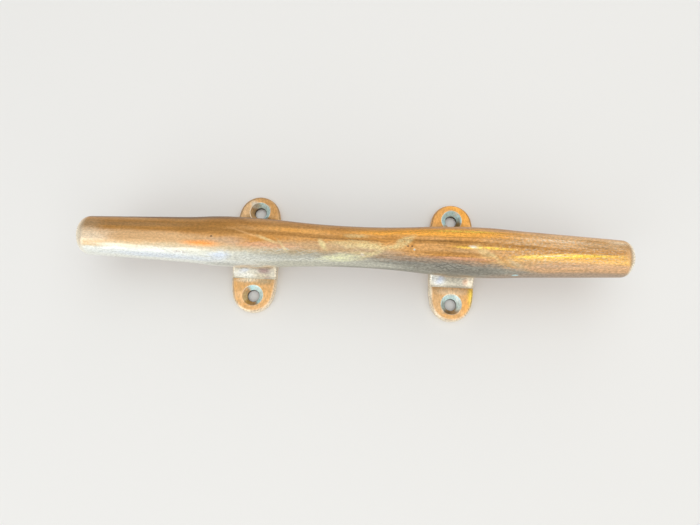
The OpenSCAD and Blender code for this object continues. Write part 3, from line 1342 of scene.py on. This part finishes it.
    def grain(self, canvas: Canvas) -> None:
        """Shades everything by fine brushed lines and specks, and gives them relief.

        Args:
            canvas: The material in the making.
        """
        net = canvas.net
        lines = net.use(self.effects.brushing, Place=canvas.pattern,
                        Size=self.brush_size).outputs[0]
        specks = self.speckle.read(net, canvas.pattern)
        lined, specked = self.wear(canvas)
        change = net.plus(
            net.times(net.ramp(lines, *self.line_swing, *self.line_shade), lined),
            net.times(net.ramp(specks, *self.speck_swing, *self.speck_shade), specked))
        tone = net.add("ShaderNodeVectorMath", operation=VectorOp.SCALE.value)
        net.fill(tone, Vector=canvas.colour, Scale=net.plus(change, 1.0))
        canvas.colour = tone.outputs[0]
        canvas.roughness = net.plus(canvas.roughness, net.times(lines, self.line_roughness))
        relief = net.plus(net.times(lines, self.line_depth),
                          net.times(net.minus(specks, NOISE_MEAN), self.speck_depth))
        canvas.relief = net.plus(canvas.relief, relief)

    @cached_property
    def material(self) -> bpy.types.Material:
        """The finished material, built once.

        Returns:
            The material.
        """
        material = bpy.data.materials.new(f"worn_{self.slot}")
        material.use_nodes = True
        material.node_tree.nodes.clear()
        net = Net(material.node_tree)
        canvas = self.start(net)
        self.lay(canvas, self.tones())
        self.dress(canvas)
        self.lay(canvas, self.marks())
        self.grain(canvas)
        bump = net.add("ShaderNodeBump")
        net.fill(bump, Strength=1.0, Distance=MM, Height=canvas.relief)
        shader = net.add("ShaderNodeBsdfPrincipled")
        net.fill(shader, Base_Color=canvas.colour, Roughness=canvas.roughness,
                 Metallic=canvas.metallic, Normal=bump.outputs[0])
        output = net.add("ShaderNodeOutputMaterial")
        net.put(output.inputs["Surface"], shader.outputs[0])
        return material


@dataclass(frozen=True)
class BarBronze(Bronze):
    """The bar's finish: amber on top, brown behind, grey and silver on the near side; the brown is
    partly painted shade, the silver partly a painted reflection, and the glints painted.
    """

    slot: str = "bar_bronze"
    axis_z: float = 28.4
    mean_r: float = 12.5
    # Distances from the middle between which a tip's patterns stop being rolled out
    tip_x: Pair = (143.0, 147.0)
    # Strength of lines and of specks along the bar: from x, to x, first and last strength
    line_rise: tuple[float, ...] = (-20.0, 60.0, 0.6, 1.8)
    speck_rise: tuple[float, ...] = (-90.0, 60.0, 0.75, 1.05)
    # Marks where the photograph shows nothing: their number, the ranges of their x, angle,
    # length, width, strength and turn, and their edges
    hidden: int = 26
    hidden_ranges: tuple[Pair, ...] = (
        (-140.0, 140.0), (74.0, 262.0), (5.0, 30.0), (6.0, 16.0), (0.5, 0.9), (-12.0, 12.0))
    hidden_ragged: float = 2.0
    hidden_broken: float = 0.36
    seed: int = 7

    def mark_place(self, net: Net, place: Socket) -> Socket:
        """Where the marks are read: on the bar's surface rolled out flat."""
        return net.use(self.effects.unroll, Place=place, Height=self.axis_z,
                       Radius=self.mean_r).outputs[0]

    def pattern_place(self, net: Net, place: Socket, surface: Socket) -> Socket:
        """Where grain and broken edges are read: rolled out too, but as it stands on the tips.

        Args:
            net: The material's net.
            place: Place on the piece, in millimetres.
            surface: Place on the rolled-out bar, in millimetres.

        Returns:
            A place that turns from surface to place where the tips are rounded.
        """
        x = net.split(place)[0]
        tip = net.ramp(net.times(x, x), self.tip_x[0] ** 2, self.tip_x[1] ** 2)
        return net.mix(Kind.VECTOR, tip, surface, place)

    def wear(self, canvas: Canvas) -> tuple[object, object]:
        """How strongly lines and specks show: more towards the scratched right horn."""
        x = canvas.net.split(canvas.pattern)[0]
        return canvas.net.ramp(x, *self.line_rise), canvas.net.ramp(x, *self.speck_rise)

    def at(self, patina: Patina, x: float, angle: float, length: float, width: float,
           strength: float, turn: float = 0.0, ragged: float = 1.2, **more: object) -> Mark:
        """One mark on the rolled-out bar.

        Args:
            patina: The mark's coat.
            x: Distance of its middle from the bar's middle, in millimetres.
            angle: Angle of its middle from the top of the bar, away from the viewer, in degrees.
            length: Half its length along the bar, in millimetres.
            width: Half its width round the bar, in degrees.
            strength: How much of the coat it has.
            turn: Angle by which it is turned on the surface, in degrees.
            ragged: How uneven its edge is.
            **more: Other fields of the mark.

        Returns:
            The mark.
        """
        degree = math.radians(1) * self.mean_r
        return Mark(patina, (x, angle * degree, 0), (length, width * degree, 1), strength, turn,
                    ragged, **more)

    def tones(self) -> tuple[Mark, ...]:
        """Broad tones of the bar.

        Returns:
            The tones, the lowest first.
        """
        at = self.at
        return (
            # Far side and top, left to right; the umber and brown down the far side are partly
            # tarnish and partly painted shade
            at(Patina.OCHRE, -112, 24, 66, 22, 0.90, ragged=0.6, soft=0.6),
            at(Patina.TAN, -118, 24, 52, 12, 0.35, ragged=0.6),
            at(Patina.AMBER, -30, 24, 26, 14, 0.35, ragged=0.6),
            at(Patina.AMBER, 50, 36, 56, 20, 0.95, ragged=1.0, soft=0.6),
            at(Patina.AMBER, 12, 30, 22, 12, 0.55, ragged=1.4),
            at(Patina.HONEY, 122, 38, 50, 30, 0.90, ragged=1.0, soft=0.5),
            at(Patina.TAN, 104, 14, 50, 10, 0.55),
            at(Patina.UMBER, -95, 76, 88, 31, 0.90, ragged=0.8, soft=0.5),
            at(Patina.BROWN, -20, 84, 90, 38, 0.80, ragged=0.8, soft=0.6),
            at(Patina.UMBER, 20, 92, 90, 34, 0.80, ragged=0.8, soft=0.6),
            at(Patina.UMBER, 0, 180, 220, 88, 0.70, ragged=1.0, soft=0.5),
            # From the top down the near side, each over the one before; its pale grey, silver and
            # blush are partly tarnish and partly a painted reflection of the near window
            at(Patina.TAN, -112, -82, 84, 95, 0.85, ragged=0.3, soft=0.16),
            at(Patina.FAWN, -20, -82, 66, 86, 0.85, ragged=0.4, soft=0.20),
            at(Patina.GOLD, 122, -76, 66, 74, 0.85, ragged=0.3, soft=0.16),
            at(Patina.TAN, -146, 12, 16, 52, 0.80, soft=0.7),
            at(Patina.CREAM, -140, -13, 18, 30, 0.50, soft=0.9),
            at(Patina.ROSE, -48, -22, 28, 14, 0.70, ragged=1.6),
            at(Patina.TAUPE, -66, -12, 16, 12, 0.45, ragged=1.6),
            at(Patina.SAND, -76, -82, 122, 68, 0.85, ragged=0.5, soft=0.24),
            at(Patina.TAUPE, 42, -80, 60, 56, 0.85, ragged=0.5, soft=0.20),
            at(Patina.HONEY, 118, -80, 56, 60, 0.30, ragged=0.4, soft=0.18),
            at(Patina.BLUSH, 124, -80, 62, 52, 0.75, ragged=0.4, soft=0.18),
            at(Patina.TAUPE, 102, -37, 46, 12, 0.50, ragged=1.4),
            at(Patina.SAND, 4, -22, 28, 36, 0.35, soft=0.9),
            at(Patina.TAUPE, 16, -26, 22, 14, 0.45, ragged=1.4, soft=0.9),
            at(Patina.SAND, 62, -14, 24, 12, 0.30, soft=0.9),
            at(Patina.AMBER, 120, -16, 36, 17, 0.40, soft=0.9),
            at(Patina.HONEY, 122, 18, 34, 14, 0.40, soft=0.9),
            at(Patina.AMBER, 96, 28, 46, 18, 0.30, soft=0.9),
            at(Patina.AMBER, 84, 42, 18, 10, 0.60),
            at(Patina.AMBER, 128, 36, 14, 7, 0.50),
            at(Patina.CREAM, 140, 38, 9, 14, 0.35, soft=0.9),
            at(Patina.UMBER, -80, 50, 34, 10, 0.45, soft=0.9),
            at(Patina.BROWN, -36, 34, 22, 9, 0.50, soft=0.9),
            at(Patina.PEWTER, -76, -84, 116, 57, 0.95, ragged=0.5, soft=0.24),
            at(Patina.GREY, 46, -84, 66, 47, 0.95, ragged=0.6, soft=0.24),
            at(Patina.SILVER, -114, -88, 80, 51, 0.95, ragged=0.5, soft=0.30),
            at(Patina.TAUPE, 120, -88, 66, 34, 0.85, ragged=0.6, soft=0.40),
            at(Patina.GREY, -68, -78, 20, 18, 0.50),
            at(Patina.PEWTER, 2, -70, 34, 20, 0.85, soft=0.7),
            at(Patina.PEWTER, -4, -44, 24, 18, 0.50, ragged=1.4),
            at(Patina.FAWN, -92, -33, 48, 7, 0.35, ragged=0.6, soft=1.0),
            at(Patina.OCHRE, 106, -34, 44, 10, 0.35, ragged=0.6, soft=1.0),
        )

    def marks(self) -> tuple[Mark, ...]:
        """Marks of the bar, from patches to single scratches.

        Returns:
            The marks, the lowest first.
        """
        at, line = self.at, Break.SCRATCHED
        return (
            # Patches of the near side: scratched tarnish, with the cream, ice and silver partly
            # painted reflections of the near window
            at(Patina.CREAM, -124, -37, 26, 7, 0.60, ragged=1.6, soft=0.9, broken=0.25),
            at(Patina.CREAM, -90, -38, 18, 6, 0.55, turn=-2, ragged=1.6, soft=0.9, broken=0.30),
            at(Patina.ICE, -70, -48, 9, 16, 0.75, ragged=2.6, soft=0.9, broken=0.30),
            at(Patina.ICE, -102, -64, 46, 16, 0.55, ragged=1.4, broken=0.30),
            at(Patina.MAUVE, -92, -47, 9, 7, 0.45, ragged=1.8, broken=0.50),
            at(Patina.SILVER, -54, -54, 24, 16, 0.65, ragged=1.8, broken=0.38),
            at(Patina.SILVER, -22, -54, 30, 12, 0.60, ragged=1.8, broken=0.45, breaks=line),
            at(Patina.GREY, -6, -38, 26, 12, 0.60, ragged=1.8, broken=0.50, breaks=line),
            at(Patina.GREY, -24, -66, 50, 10, 0.50, ragged=1.8, broken=0.55, breaks=line),
            at(Patina.SILVER, 48, -60, 50, 28, 0.65, ragged=1.6, soft=0.7, broken=0.58,
               breaks=line),
            at(Patina.PEWTER, 80, -54, 9, 10, 0.70, ragged=1.8, soft=0.7, broken=0.50, breaks=line),
            at(Patina.SLATE, 54, -56, 44, 30, 0.90, ragged=1.6, broken=0.50, breaks=line),
            at(Patina.SLATE, 62, -66, 24, 14, 0.40, ragged=1.6),
            at(Patina.ROSE, 56, -30, 28, 6, 0.85, ragged=0.6),
            at(Patina.UMBER, 112, 0, 56, 66, 0.35, ragged=0.6, soft=0.6, broken=0.54),
            at(Patina.CREAM, 112, 0, 56, 66, 0.35, ragged=0.6, soft=0.6, broken=0.60),
            # Brown streaks along the top, partly a painted dark reflection that runs the length of
            # the bar
            at(Patina.BROWN, -82, 9, 62, 7, 0.70, ragged=1.6),
            at(Patina.BROWN, -64, 6, 22, 10, 0.65, ragged=1.6),
            at(Patina.BROWN, 126, 14, 16, 6, 0.55, turn=1.5, ragged=1.4),
            at(Patina.BROWN, 90, 6, 12, 4, 0.50, turn=1.5, ragged=1.4),
            at(Patina.BROWN, -36, 11, 66, 9, 0.85),
            at(Patina.UMBER, -6, 6, 38, 4, 0.60, turn=0.5, soft=0.9),
            at(Patina.BROWN, 46, 6, 44, 8, 0.90, turn=1, soft=0.9),
            at(Patina.UMBER, 50, 9, 38, 4, 0.60, turn=1, soft=0.9),
            at(Patina.BROWN, 94, 3, 38, 7, 0.70, turn=1.5, ragged=1.4, soft=0.9),
            at(Patina.BROWN, 50, -19, 40, 6, 0.75, ragged=1.0, soft=0.9),
            at(Patina.BROWN, 46, 20, 46, 3, 0.35, turn=1, soft=0.9),
            # Painted glints and highlight lines, and the copper patch
            at(Patina.COPPER, -80, -21, 15, 11, 0.85, ragged=1.4, soft=1.0),
            at(Patina.GLINT, 58, 38, 28, 7, 0.85, broken=0.46),
            at(Patina.GLINT, 68, -4, 24, 5, 0.90, broken=0.46),
            at(Patina.HONEY, 74, 46, 18, 8, 0.45),
            at(Patina.GLINT, 112, -14, 38, 7, 0.95, turn=-3, soft=0.7, broken=0.40),
            at(Patina.CREAM, 104, -15, 14, 3, 0.70, turn=-3, broken=0.40),
            at(Patina.CREAM, 108, 27, 26, 8, 0.50, ragged=1.6, broken=0.45),
            # Chalky stains round the middle
            at(Patina.CHALK, 6, -8, 24, 15, 0.85, turn=3, ragged=3.0, broken=0.40),
            at(Patina.CHALK, -16.2, -13, 2.0, 27, 0.85, turn=-31, ragged=1.6, soft=1.0),
            at(Patina.LIME, -7, -46, 18, 15, 0.70, turn=-6, ragged=3.0, broken=0.42),
            at(Patina.LIME, -9, -48, 10, 6, 0.80, turn=-10, ragged=1.8, broken=0.30),
            at(Patina.LIME, -5, -55, 12, 9, 0.60, turn=-6, ragged=2.0, broken=0.26),
            at(Patina.LIME, -14, -45, 4, 6, 0.50, ragged=1.8, soft=0.9),
            at(Patina.CHALK, 4, -31, 8, 8, 0.50, ragged=2.4, broken=0.34),
            at(Patina.PEWTER, 14, -46, 10, 8, 0.45, ragged=2.0),
            at(Patina.CREAM, 4.6, -34, 1.8, 6, 0.70, turn=30, ragged=1.6),
            at(Patina.CHALK, 1, 18, 10, 10, 0.55, ragged=2.6, broken=0.42),
            at(Patina.CHALK, 26, 5, 9, 15, 0.60, turn=-34, ragged=1.8, soft=0.6, broken=0.40),
            at(Patina.CHALK, 12, -26, 15, 10, 0.60, turn=-30, ragged=2.4, broken=0.40),
            at(Patina.BROWN, 0, -22, 30, 8, 0.50, ragged=2.2, broken=0.50, breaks=line),
            at(Patina.BROWN, 2, 2, 26, 16, 0.55, ragged=2.2, broken=0.60),
            at(Patina.PEWTER, -36, -36, 24, 18, 0.75, ragged=2.6, soft=0.7, broken=0.48,
               breaks=line),
            # Scratches
            at(Patina.HONEY, -56, 6, 12, 4, 0.35, turn=16, ragged=2.0, soft=1.0),
            at(Patina.CHALK, -45, -6, 9, 5, 0.55, turn=18, ragged=2.2, soft=1.0),
            at(Patina.CHALK, -37, -20, 7, 5, 0.45, turn=50, ragged=2.2, soft=1.0),
            at(Patina.SILVER, 62, -3, 3.6, 5, 0.60, turn=10, ragged=2.0, soft=0.9),
            at(Patina.CHALK, 67, -13, 9, 16, 0.40, turn=36, ragged=2.2, soft=0.9, broken=0.35),
            at(Patina.CHALK, 73, -22, 8, 6, 0.40, turn=34, ragged=2.4, soft=1.0),
            at(Patina.SAND, 86, -42, 12, 10, 0.70, turn=30, ragged=2.2, broken=0.4),
            at(Patina.VERDIGRIS, 86, -74, 2.4, 4, 0.8, ragged=0.8, soft=0.45),
            at(Patina.VERDIGRIS, 31.6, -14, 0.7, 3.0, 0.5, ragged=0.8, soft=0.45),
            # Pits
            at(Patina.PIT, -74.5, -4, 0.8, 3.6, 0.8, ragged=0.8, soft=0.9, deep=0.25),
            at(Patina.PIT, 28.2, -6, 0.7, 3.2, 0.8, ragged=0.8, deep=0.25),
            at(Patina.PIT, 30.4, -6, 0.8, 3.2, 0.8, ragged=0.8, deep=0.25),
            # Tips: honey and sand tones, and cream and silver as painted highlights on their
            # rounded edges
            at(Patina.HONEY, 148, 4, 7, 50, 0.80, ragged=0.6, soft=0.7),
            at(Patina.CREAM, 147.4, 0, 3.2, 900, 0.85, ragged=0.6, soft=0.9),
            at(Patina.CREAM, -150, -20, 8, 140, 0.80, ragged=0.6, soft=0.6),
            at(Patina.SAND, -154, 0, 6, 900, 1.0, ragged=0.6, soft=0.3),
            at(Patina.SAND, 154, 0, 6, 900, 1.0, ragged=0.6, soft=0.3),
            at(Patina.SILVER, 148.6, -56, 3.6, 42, 0.85, ragged=0.3, soft=0.7),
            at(Patina.SILVER, -150.0, -40, 3.4, 70, 0.9, ragged=0.6, soft=0.5),
        ) + self.hidden_marks()

    def hidden_marks(self) -> tuple[Mark, ...]:
        """Marks on the far side and the underside, which the photograph doesn't show.

        Returns:
            Patches and streaks strewn at random.
        """
        uniform = np.random.default_rng(self.seed).uniform
        patinas = (Patina.TAN, Patina.UMBER, Patina.PEWTER, Patina.CHALK, Patina.GREY, Patina.AMBER)
        return tuple(
            self.at(patinas[number % len(patinas)],
                    *(uniform(*limits) for limits in self.hidden_ranges),
                    ragged=self.hidden_ragged, broken=self.hidden_broken,
                    breaks=list(Break)[number % 2])
            for number in range(self.hidden))


@dataclass(frozen=True)
class LegBronze(Bronze):
    """The legs' finish: partly rubbed pale and partly a painted reflection in the fillets, with
    polishing and painted highlights on the edges.
    """

    slot: str = "leg_bronze"
    streak_size: Triple = (20.0, 1.6, 1.6)
    # Shares of the toe's quarter circle between which its pale painted reflection stops, and how
    # pale it is
    pale_climb: Pair = (0.40, 0.95)
    pale_strength: float = 0.90
    rim_strength: float = 0.9

    def dress(self, canvas: Canvas) -> None:
        """Pales the toes' fillets, partly as rubbed metal and partly as a painted reflection, and
        lays polishing and painted highlights on their edges.

        Args:
            canvas: The material in the making.
        """
        net = canvas.net
        pale = net.ramp(net.attribute("climb"), *self.pale_climb, self.pale_strength, 0.0)
        self.coat(canvas, pale, Patina.PEWTER)
        self.coat(canvas, net.times(net.attribute("rim"), self.rim_strength), Patina.CREAM)

    def marks(self) -> tuple[Mark, ...]:
        """Patches on the near fillets, left leg first: mostly painted reflections of light and
        shade.

        Returns:
            The marks, the lowest first.
        """
        line = Break.SCRATCHED
        return (
            Mark(Patina.SILVER, (-62, -13.8, 6), (12, 2.2, 5), 0.60, turn=6, soft=0.7),
            Mark(Patina.SILVER, (50, -13, 7), (7, 4, 5), 0.70),
            Mark(Patina.ICE, (-64, -12, 8), (6, 2.5, 3), 0.85, turn=-14),
            Mark(Patina.SAND, (-54, -14, 6), (9, 3, 3), 0.45, turn=-8, ragged=1.2),
            Mark(Patina.MAUVE, (-51.8, -11.4, 8), (6.5, 2.6, 4), 0.90, soft=0.7),
            Mark(Patina.MAUVE, (-49.5, -14.5, 6), (3.2, 1.6, 2), 0.65),
            Mark(Patina.CREAM, (-46, -11, 8), (3, 3, 4), 0.60),
            Mark(Patina.ICE, (50, -12, 7.5), (5, 4, 4), 0.90),
            Mark(Patina.SILVER, (47.4, -10, 9), (4, 5, 6), 0.95, soft=0.7),
            Mark(Patina.GREY, (58, -12, 7), (9, 4, 3), 0.55, ragged=1.6, broken=0.45, breaks=line),
            Mark(Patina.GREY, (59, -14.8, 6), (9, 1.2, 2), 0.55),
            Mark(Patina.CREAM, (67, -12.5, 7), (4.5, 4, 4), 0.80, soft=0.7),
            Mark(Patina.ROSE, (65, -12.5, 7), (2.6, 3, 3), 0.70, turn=30, soft=0.7),
        )


@dataclass(frozen=True)
class FootBronze(Bronze):
    """The feet's finish: orange tan, rims with polishing and painted highlights, verdigris and
    painted light and shade in the countersinks.
    """

    slot: str = "foot_bronze"
    gold: Colour = tint(218, 170, 112)
    tan: Colour = tint(222, 180, 130)
    brown: Colour = tint(186, 138, 84)
    streak_size: Triple = (3.0, 12.0, 3.0)
    streak_strength: float = 0.15
    brush_size: Triple = (0.6, 6.0, 0.6)
    speckle: Grain = Grain((0.9, 1.6, 0.9), 4.0, 0.68)
    line_wear: float = 0.5
    speck_wear: float = 0.8
    crust_strength: float = 0.8
    rim_strength: float = 0.9
    # Verdigris, partly a painted highlight, and painted shine set in between these depths in the
    # countersink and amounts of light
    verdigris_depth: Pair = (0.55, 0.90)
    verdigris_light: Pair = (0.35, 0.65)
    shine_depth: Pair = (0.90, 1.00)
    shine_light: Pair = (0.62, 0.92)
    shine_strength: float = 0.3

    def dress(self, canvas: Canvas) -> None:
        """Lays polishing and painted highlights on the rims, tarnish into the countersinks,
        verdigris and painted shine on their lit side, and painted shade on the bores' walls.

        Args:
            canvas: The material in the making.
        """
        net = canvas.net
        rim, sunk, lit, bore = (net.attribute(name) for name in ("rim", "sunk", "lit", "bore"))
        pale = net.times(net.ramp(sunk, *self.verdigris_depth),
                         net.ramp(lit, *self.verdigris_light))
        shine = net.times(net.ramp(sunk, *self.shine_depth),
                          net.ramp(lit, *self.shine_light, 0.0, self.shine_strength))
        self.coat(canvas, net.times(sunk, self.crust_strength), Patina.CRUST)
        # Partly verdigris, partly a painted highlight, and painted shine, on the lit side of each
        # countersink
        self.coat(canvas, pale, Patina.VERDIGRIS)
        self.coat(canvas, shine, Patina.SILVER)
        # Painted shade: a dark coat down the walls of the bores
        self.coat(canvas, bore, Patina.PIT)
        # Cream on the rims and the holes' lips: polishing and painted highlight
        self.coat(canvas, net.times(rim, self.rim_strength), Patina.CREAM)

    def tones(self) -> tuple[Mark, ...]:
        """Tones of single feet, painted light below the near toes, and painted shadow tones on the
        far feet close to the bar.

        Returns:
            The tones, the lowest first.
        """
        return (
            Mark(Patina.FAWN, (-67, 28, 5), (10, 14, 5), 0.60, soft=0.6),
            Mark(Patina.BROWN, (-50, 29, 5), (13, 12, 5), 0.65, soft=0.7),
            Mark(Patina.OCHRE, (57, 30, 5), (22, 15, 5), 0.90, soft=0.5),
            Mark(Patina.AMBER, (65, 30, 5), (9, 12, 5), 0.60),
            Mark(Patina.AMBER, (57, 34, 5), (10, 2.5, 3), 0.60),
            Mark(Patina.BROWN, (-57, 34, 5), (10, 2.5, 3), 0.40),
            Mark(Patina.TAN, (48, -26, 5), (8, 9, 4), 0.60, soft=0.7),
            Mark(Patina.AMBER, (67, -26, 5), (6, 12, 4), 0.50),
            # Painted light: pale tones on the feet below the near toes, where the legs shade them
            Mark(Patina.TAN, (-58, -17, 5), (15, 4, 3), 0.60, turn=-3, soft=0.9),
            Mark(Patina.SAND, (57, -17.0, 5), (15, 4, 3), 0.65, soft=0.9),
        ) + tuple(Mark(Patina.UMBER, (x, 20, 5), (16, 5, 3), strength, soft=0.9)
                  for x, strength in ((-57, 1.0), (57, 0.60)))

    def marks(self) -> tuple[Mark, ...]:
        """Tarnish and wear on single feet, painted light and shade in the countersinks, and painted
        highlights along rims and below the near toes.

        Returns:
            The marks, the lowest first.
        """
        line = Break.SCRATCHED
        return (
            Mark(Patina.BROWN, (-57, -30, 5), (12, 5, 3), 0.40, ragged=1.8, broken=0.5,
                 breaks=line),
            Mark(Patina.BROWN, (57, -28, 5), (14, 9, 3), 0.40, ragged=1.8, broken=0.5, breaks=line),
            # Countersinks: painted highlights on the lit side and painted shade on the other, over
            # tarnish and verdigris; the gold strip is a painted rim highlight
            Mark(Patina.PEWTER, (-60, 29.5, 4), (5, 3.0, 3), 0.80, turn=30, soft=0.7),
            Mark(Patina.GOLD, (-44.5, 27, 4), (1.6, 12, 4), 0.80),
            Mark(Patina.BROWN, (61.5, 22.5, 3.5), (3.5, 5, 3), 0.85, turn=-40, soft=0.7),
            Mark(Patina.SILVER, (60, 29.5, 4), (2.0, 1.6, 2), 0.80, turn=-40),
            Mark(Patina.VERDIGRIS, (-52.6, 26.5, 3.8), (2.2, 4.5, 3), 0.60, soft=0.7),
            Mark(Patina.VERDIGRIS, (57, 30, 3.8), (4, 2.2, 3), 0.50, soft=0.7),
            Mark(Patina.UMBER, (-60.5, 26, 2), (2.5, 4, 3), 0.40, soft=0.7),
            Mark(Patina.UMBER, (-53.5, 21.4, 4), (4, 2.4, 3), 0.60, soft=0.7),
            Mark(Patina.BROWN, (61.2, 25, 3.5), (2.4, 3.5, 3), 0.60, soft=0.7),
            Mark(Patina.HONEY, (-62.4, -26, 3.8), (3.2, 5.5, 3), 0.95, soft=0.6),
            Mark(Patina.AMBER, (-60, -29.4, 3.6), (4, 2.4, 3), 0.60, turn=-30, soft=0.7),
            Mark(Patina.SILVER, (61.0, -25, 3.8), (3.0, 6, 3), 0.80, soft=0.6),
            Mark(Patina.PEWTER, (53.0, -27, 3.5), (2.6, 6, 3), 0.60, soft=0.6),
            Mark(Patina.UMBER, (55, -30, 3.8), (4, 2.2, 3), 0.55, soft=0.7),
            # Painted highlights below the near toes and along the near right foot's rims
            Mark(Patina.CREAM, (-60, -16.2, 5), (11, 2.2, 2), 0.80, turn=-3, ragged=0.1, soft=1.0),
            Mark(Patina.SAND, (-51, -17, 5), (7, 2.6, 2), 0.70, turn=-3, ragged=0.1, soft=1.0),
            Mark(Patina.HONEY, (57, -17.5, 5), (13, 4, 2), 0.70, ragged=0.1, soft=1.0),
            Mark(Patina.CREAM, (57, -18, 5), (13, 3.5, 2), 0.30, ragged=0.1, soft=1.0),
            Mark(Patina.CREAM, (44.9, -18, 5), (2.2, 10, 4), 0.85, ragged=0.1, soft=0.9),
            Mark(Patina.GLINT, (68.6, -19, 5), (3.0, 12, 4), 0.90, ragged=0.3, soft=1.0),
        )


@dataclass(frozen=True)
class SoftLamp:
    """A square lamp with soft light, unseen itself. Places and sizes in metres."""

    name: str
    place: Triple
    size: float
    brightness: float
    colour: Triple = (1.0, 1.0, 1.0)
    aim: Triple = (0.0, 0.0, 0.02)

    def make(self) -> None:
        """Hangs the lamp and turns it to its aim.

        The brightness is that of a white surface at 1, so the power is the brightness times
        pi times the lamp's area.
        """
        light = bpy.data.lights.new(self.name, "AREA")
        light.shape = "SQUARE"
        light.size = self.size
        light.energy = self.brightness * math.pi * self.size ** 2
        light.color = self.colour
        lamp = bpy.data.objects.new(self.name, light)
        turn = (Vector(self.aim) - Vector(self.place)).to_track_quat("-Z", "Y")
        lamp.matrix_world = Matrix.Translation(self.place) @ turn.to_matrix().to_4x4()
        lamp.visible_camera = False
        bpy.context.scene.collection.objects.link(lamp)


@dataclass(frozen=True)
class Studio:
    """Plain pale floor, soft light and the photograph's camera."""

    # Floor: colour, roughness, and in millimetres how far it reaches and lies below the cleat
    floor_colour: Colour = tint(228, 228, 226)
    floor_roughness: float = 0.9
    floor_reach: float = 4000.0
    floor_gap: float = 0.02
    floor_points: int = 3
    world_strength: float = 0.50
    # Camera: place in metres, turns about X, Y and Z in radians, sensor and lens in millimetres,
    # and the nearest distance that it shows, in metres
    camera_place: Triple = (0.00199, -0.07254, 0.30465)
    camera_turn: Triple = (0.22718, 0.01301, 0.04527)
    sensor_width: float = 36.0
    lens: float = 27.0
    clip_start: float = 0.01
    lamps: tuple[SoftLamp, ...] = (
        SoftLamp("ceiling", (0.15, 0.00, 1.30), 2.4, 0.82, (1.0, 0.98, 0.95)),
        SoftLamp("far_window", (0.20, 1.15, 0.62), 1.0, 0.80),
        SoftLamp("near_window", (-0.65, -0.85, 0.50), 0.9, 1.40, (0.94, 0.97, 1.0)),
        SoftLamp("warm_window", (0.70, -0.85, 0.50), 0.9, 0.70, (1.0, 0.94, 0.86)),
    )

    def make_floor(self) -> None:
        """Lays a plain pale floor under the cleat."""
        skin = Skin("floor")
        side = np.linspace(-self.floor_reach, self.floor_reach, self.floor_points)
        x, y = np.meshgrid(side, side)
        skin.add_grid(np.stack([x, y, 0 * x - self.floor_gap], -1), closed=False)
        floor = skin.make()
        material = bpy.data.materials.new("pale_floor")
        material.use_nodes = True
        Net(material.node_tree).fill(material.node_tree.nodes["Principled BSDF"],
                                     Base_Color=self.floor_colour, Roughness=self.floor_roughness)
        floor.data.materials.append(material)
        floor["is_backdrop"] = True

    def make_world(self) -> None:
        """Gives even white light from all round."""
        world = bpy.data.worlds.new("studio")
        world.use_nodes = True
        bpy.context.scene.world = world
        Net(world.node_tree).fill(world.node_tree.nodes["Background"], Color=(1, 1, 1, 1),
                                  Strength=self.world_strength)

    def make_camera(self) -> None:
        """Sets up the camera at the photograph's angle."""
        lens = bpy.data.cameras.new("camera")
        lens.sensor_width = self.sensor_width
        lens.sensor_fit = "HORIZONTAL"
        lens.lens = self.lens
        lens.clip_start = self.clip_start
        camera = bpy.data.objects.new("camera", lens)
        turn = Matrix.Identity(4)
        for angle, axis in zip(self.camera_turn, "XYZ"):
            turn = turn @ Matrix.Rotation(angle, 4, axis)
        camera.matrix_world = Matrix.Translation(self.camera_place) @ turn
        bpy.context.scene.collection.objects.link(camera)
        bpy.context.scene.camera = camera

    def make(self) -> None:
        """Builds floor, world, lamps and camera."""
        self.make_floor()
        self.make_world()
        for lamp in self.lamps:
            lamp.make()
        self.make_camera()
        bpy.context.scene.view_settings.view_transform = "Standard"


def corners() -> list[list[float]]:
    """Lowest and highest corner of what is shown, as plain lists."""
    return [list(corner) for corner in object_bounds()]


def place_piece(piece: bpy.types.Object, node: str, finish: Bronze) -> None:
    """Dresses a piece and puts it in the place of its CAD node.

    Args:
        piece: The new piece.
        node: The CAD node that it stands for.
        finish: The finish that it wears.
    """
    piece.data.materials.append(finish.material)
    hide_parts(node)
    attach(piece, "root")
    LOG.info("%s stands for %s: %d faces, %s", piece.name, node, len(piece.data.polygons),
             finish.slot)


def main() -> None:
    """Builds the pieces, the studio and the camera."""
    logging.basicConfig(level=logging.INFO, format="%(name)s: %(message)s")
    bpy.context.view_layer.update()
    effects = Effects()
    bar = HornBar.from_frame()
    place_piece(bar.make(), "horn_bar", BarBronze(effects, axis_z=bar.axis_z))
    leg_finish, foot_finish = LegBronze(effects), FootBronze(effects)
    for side in Side:
        foot = Foot.from_frame(side)
        place_piece(Leg(bar, foot).make(), f"{side.word}_leg", leg_finish)
        place_piece(foot.make(), f"{side.word}_foot", foot_finish)
    Studio().make()


if __name__ == "__main__":
    main()
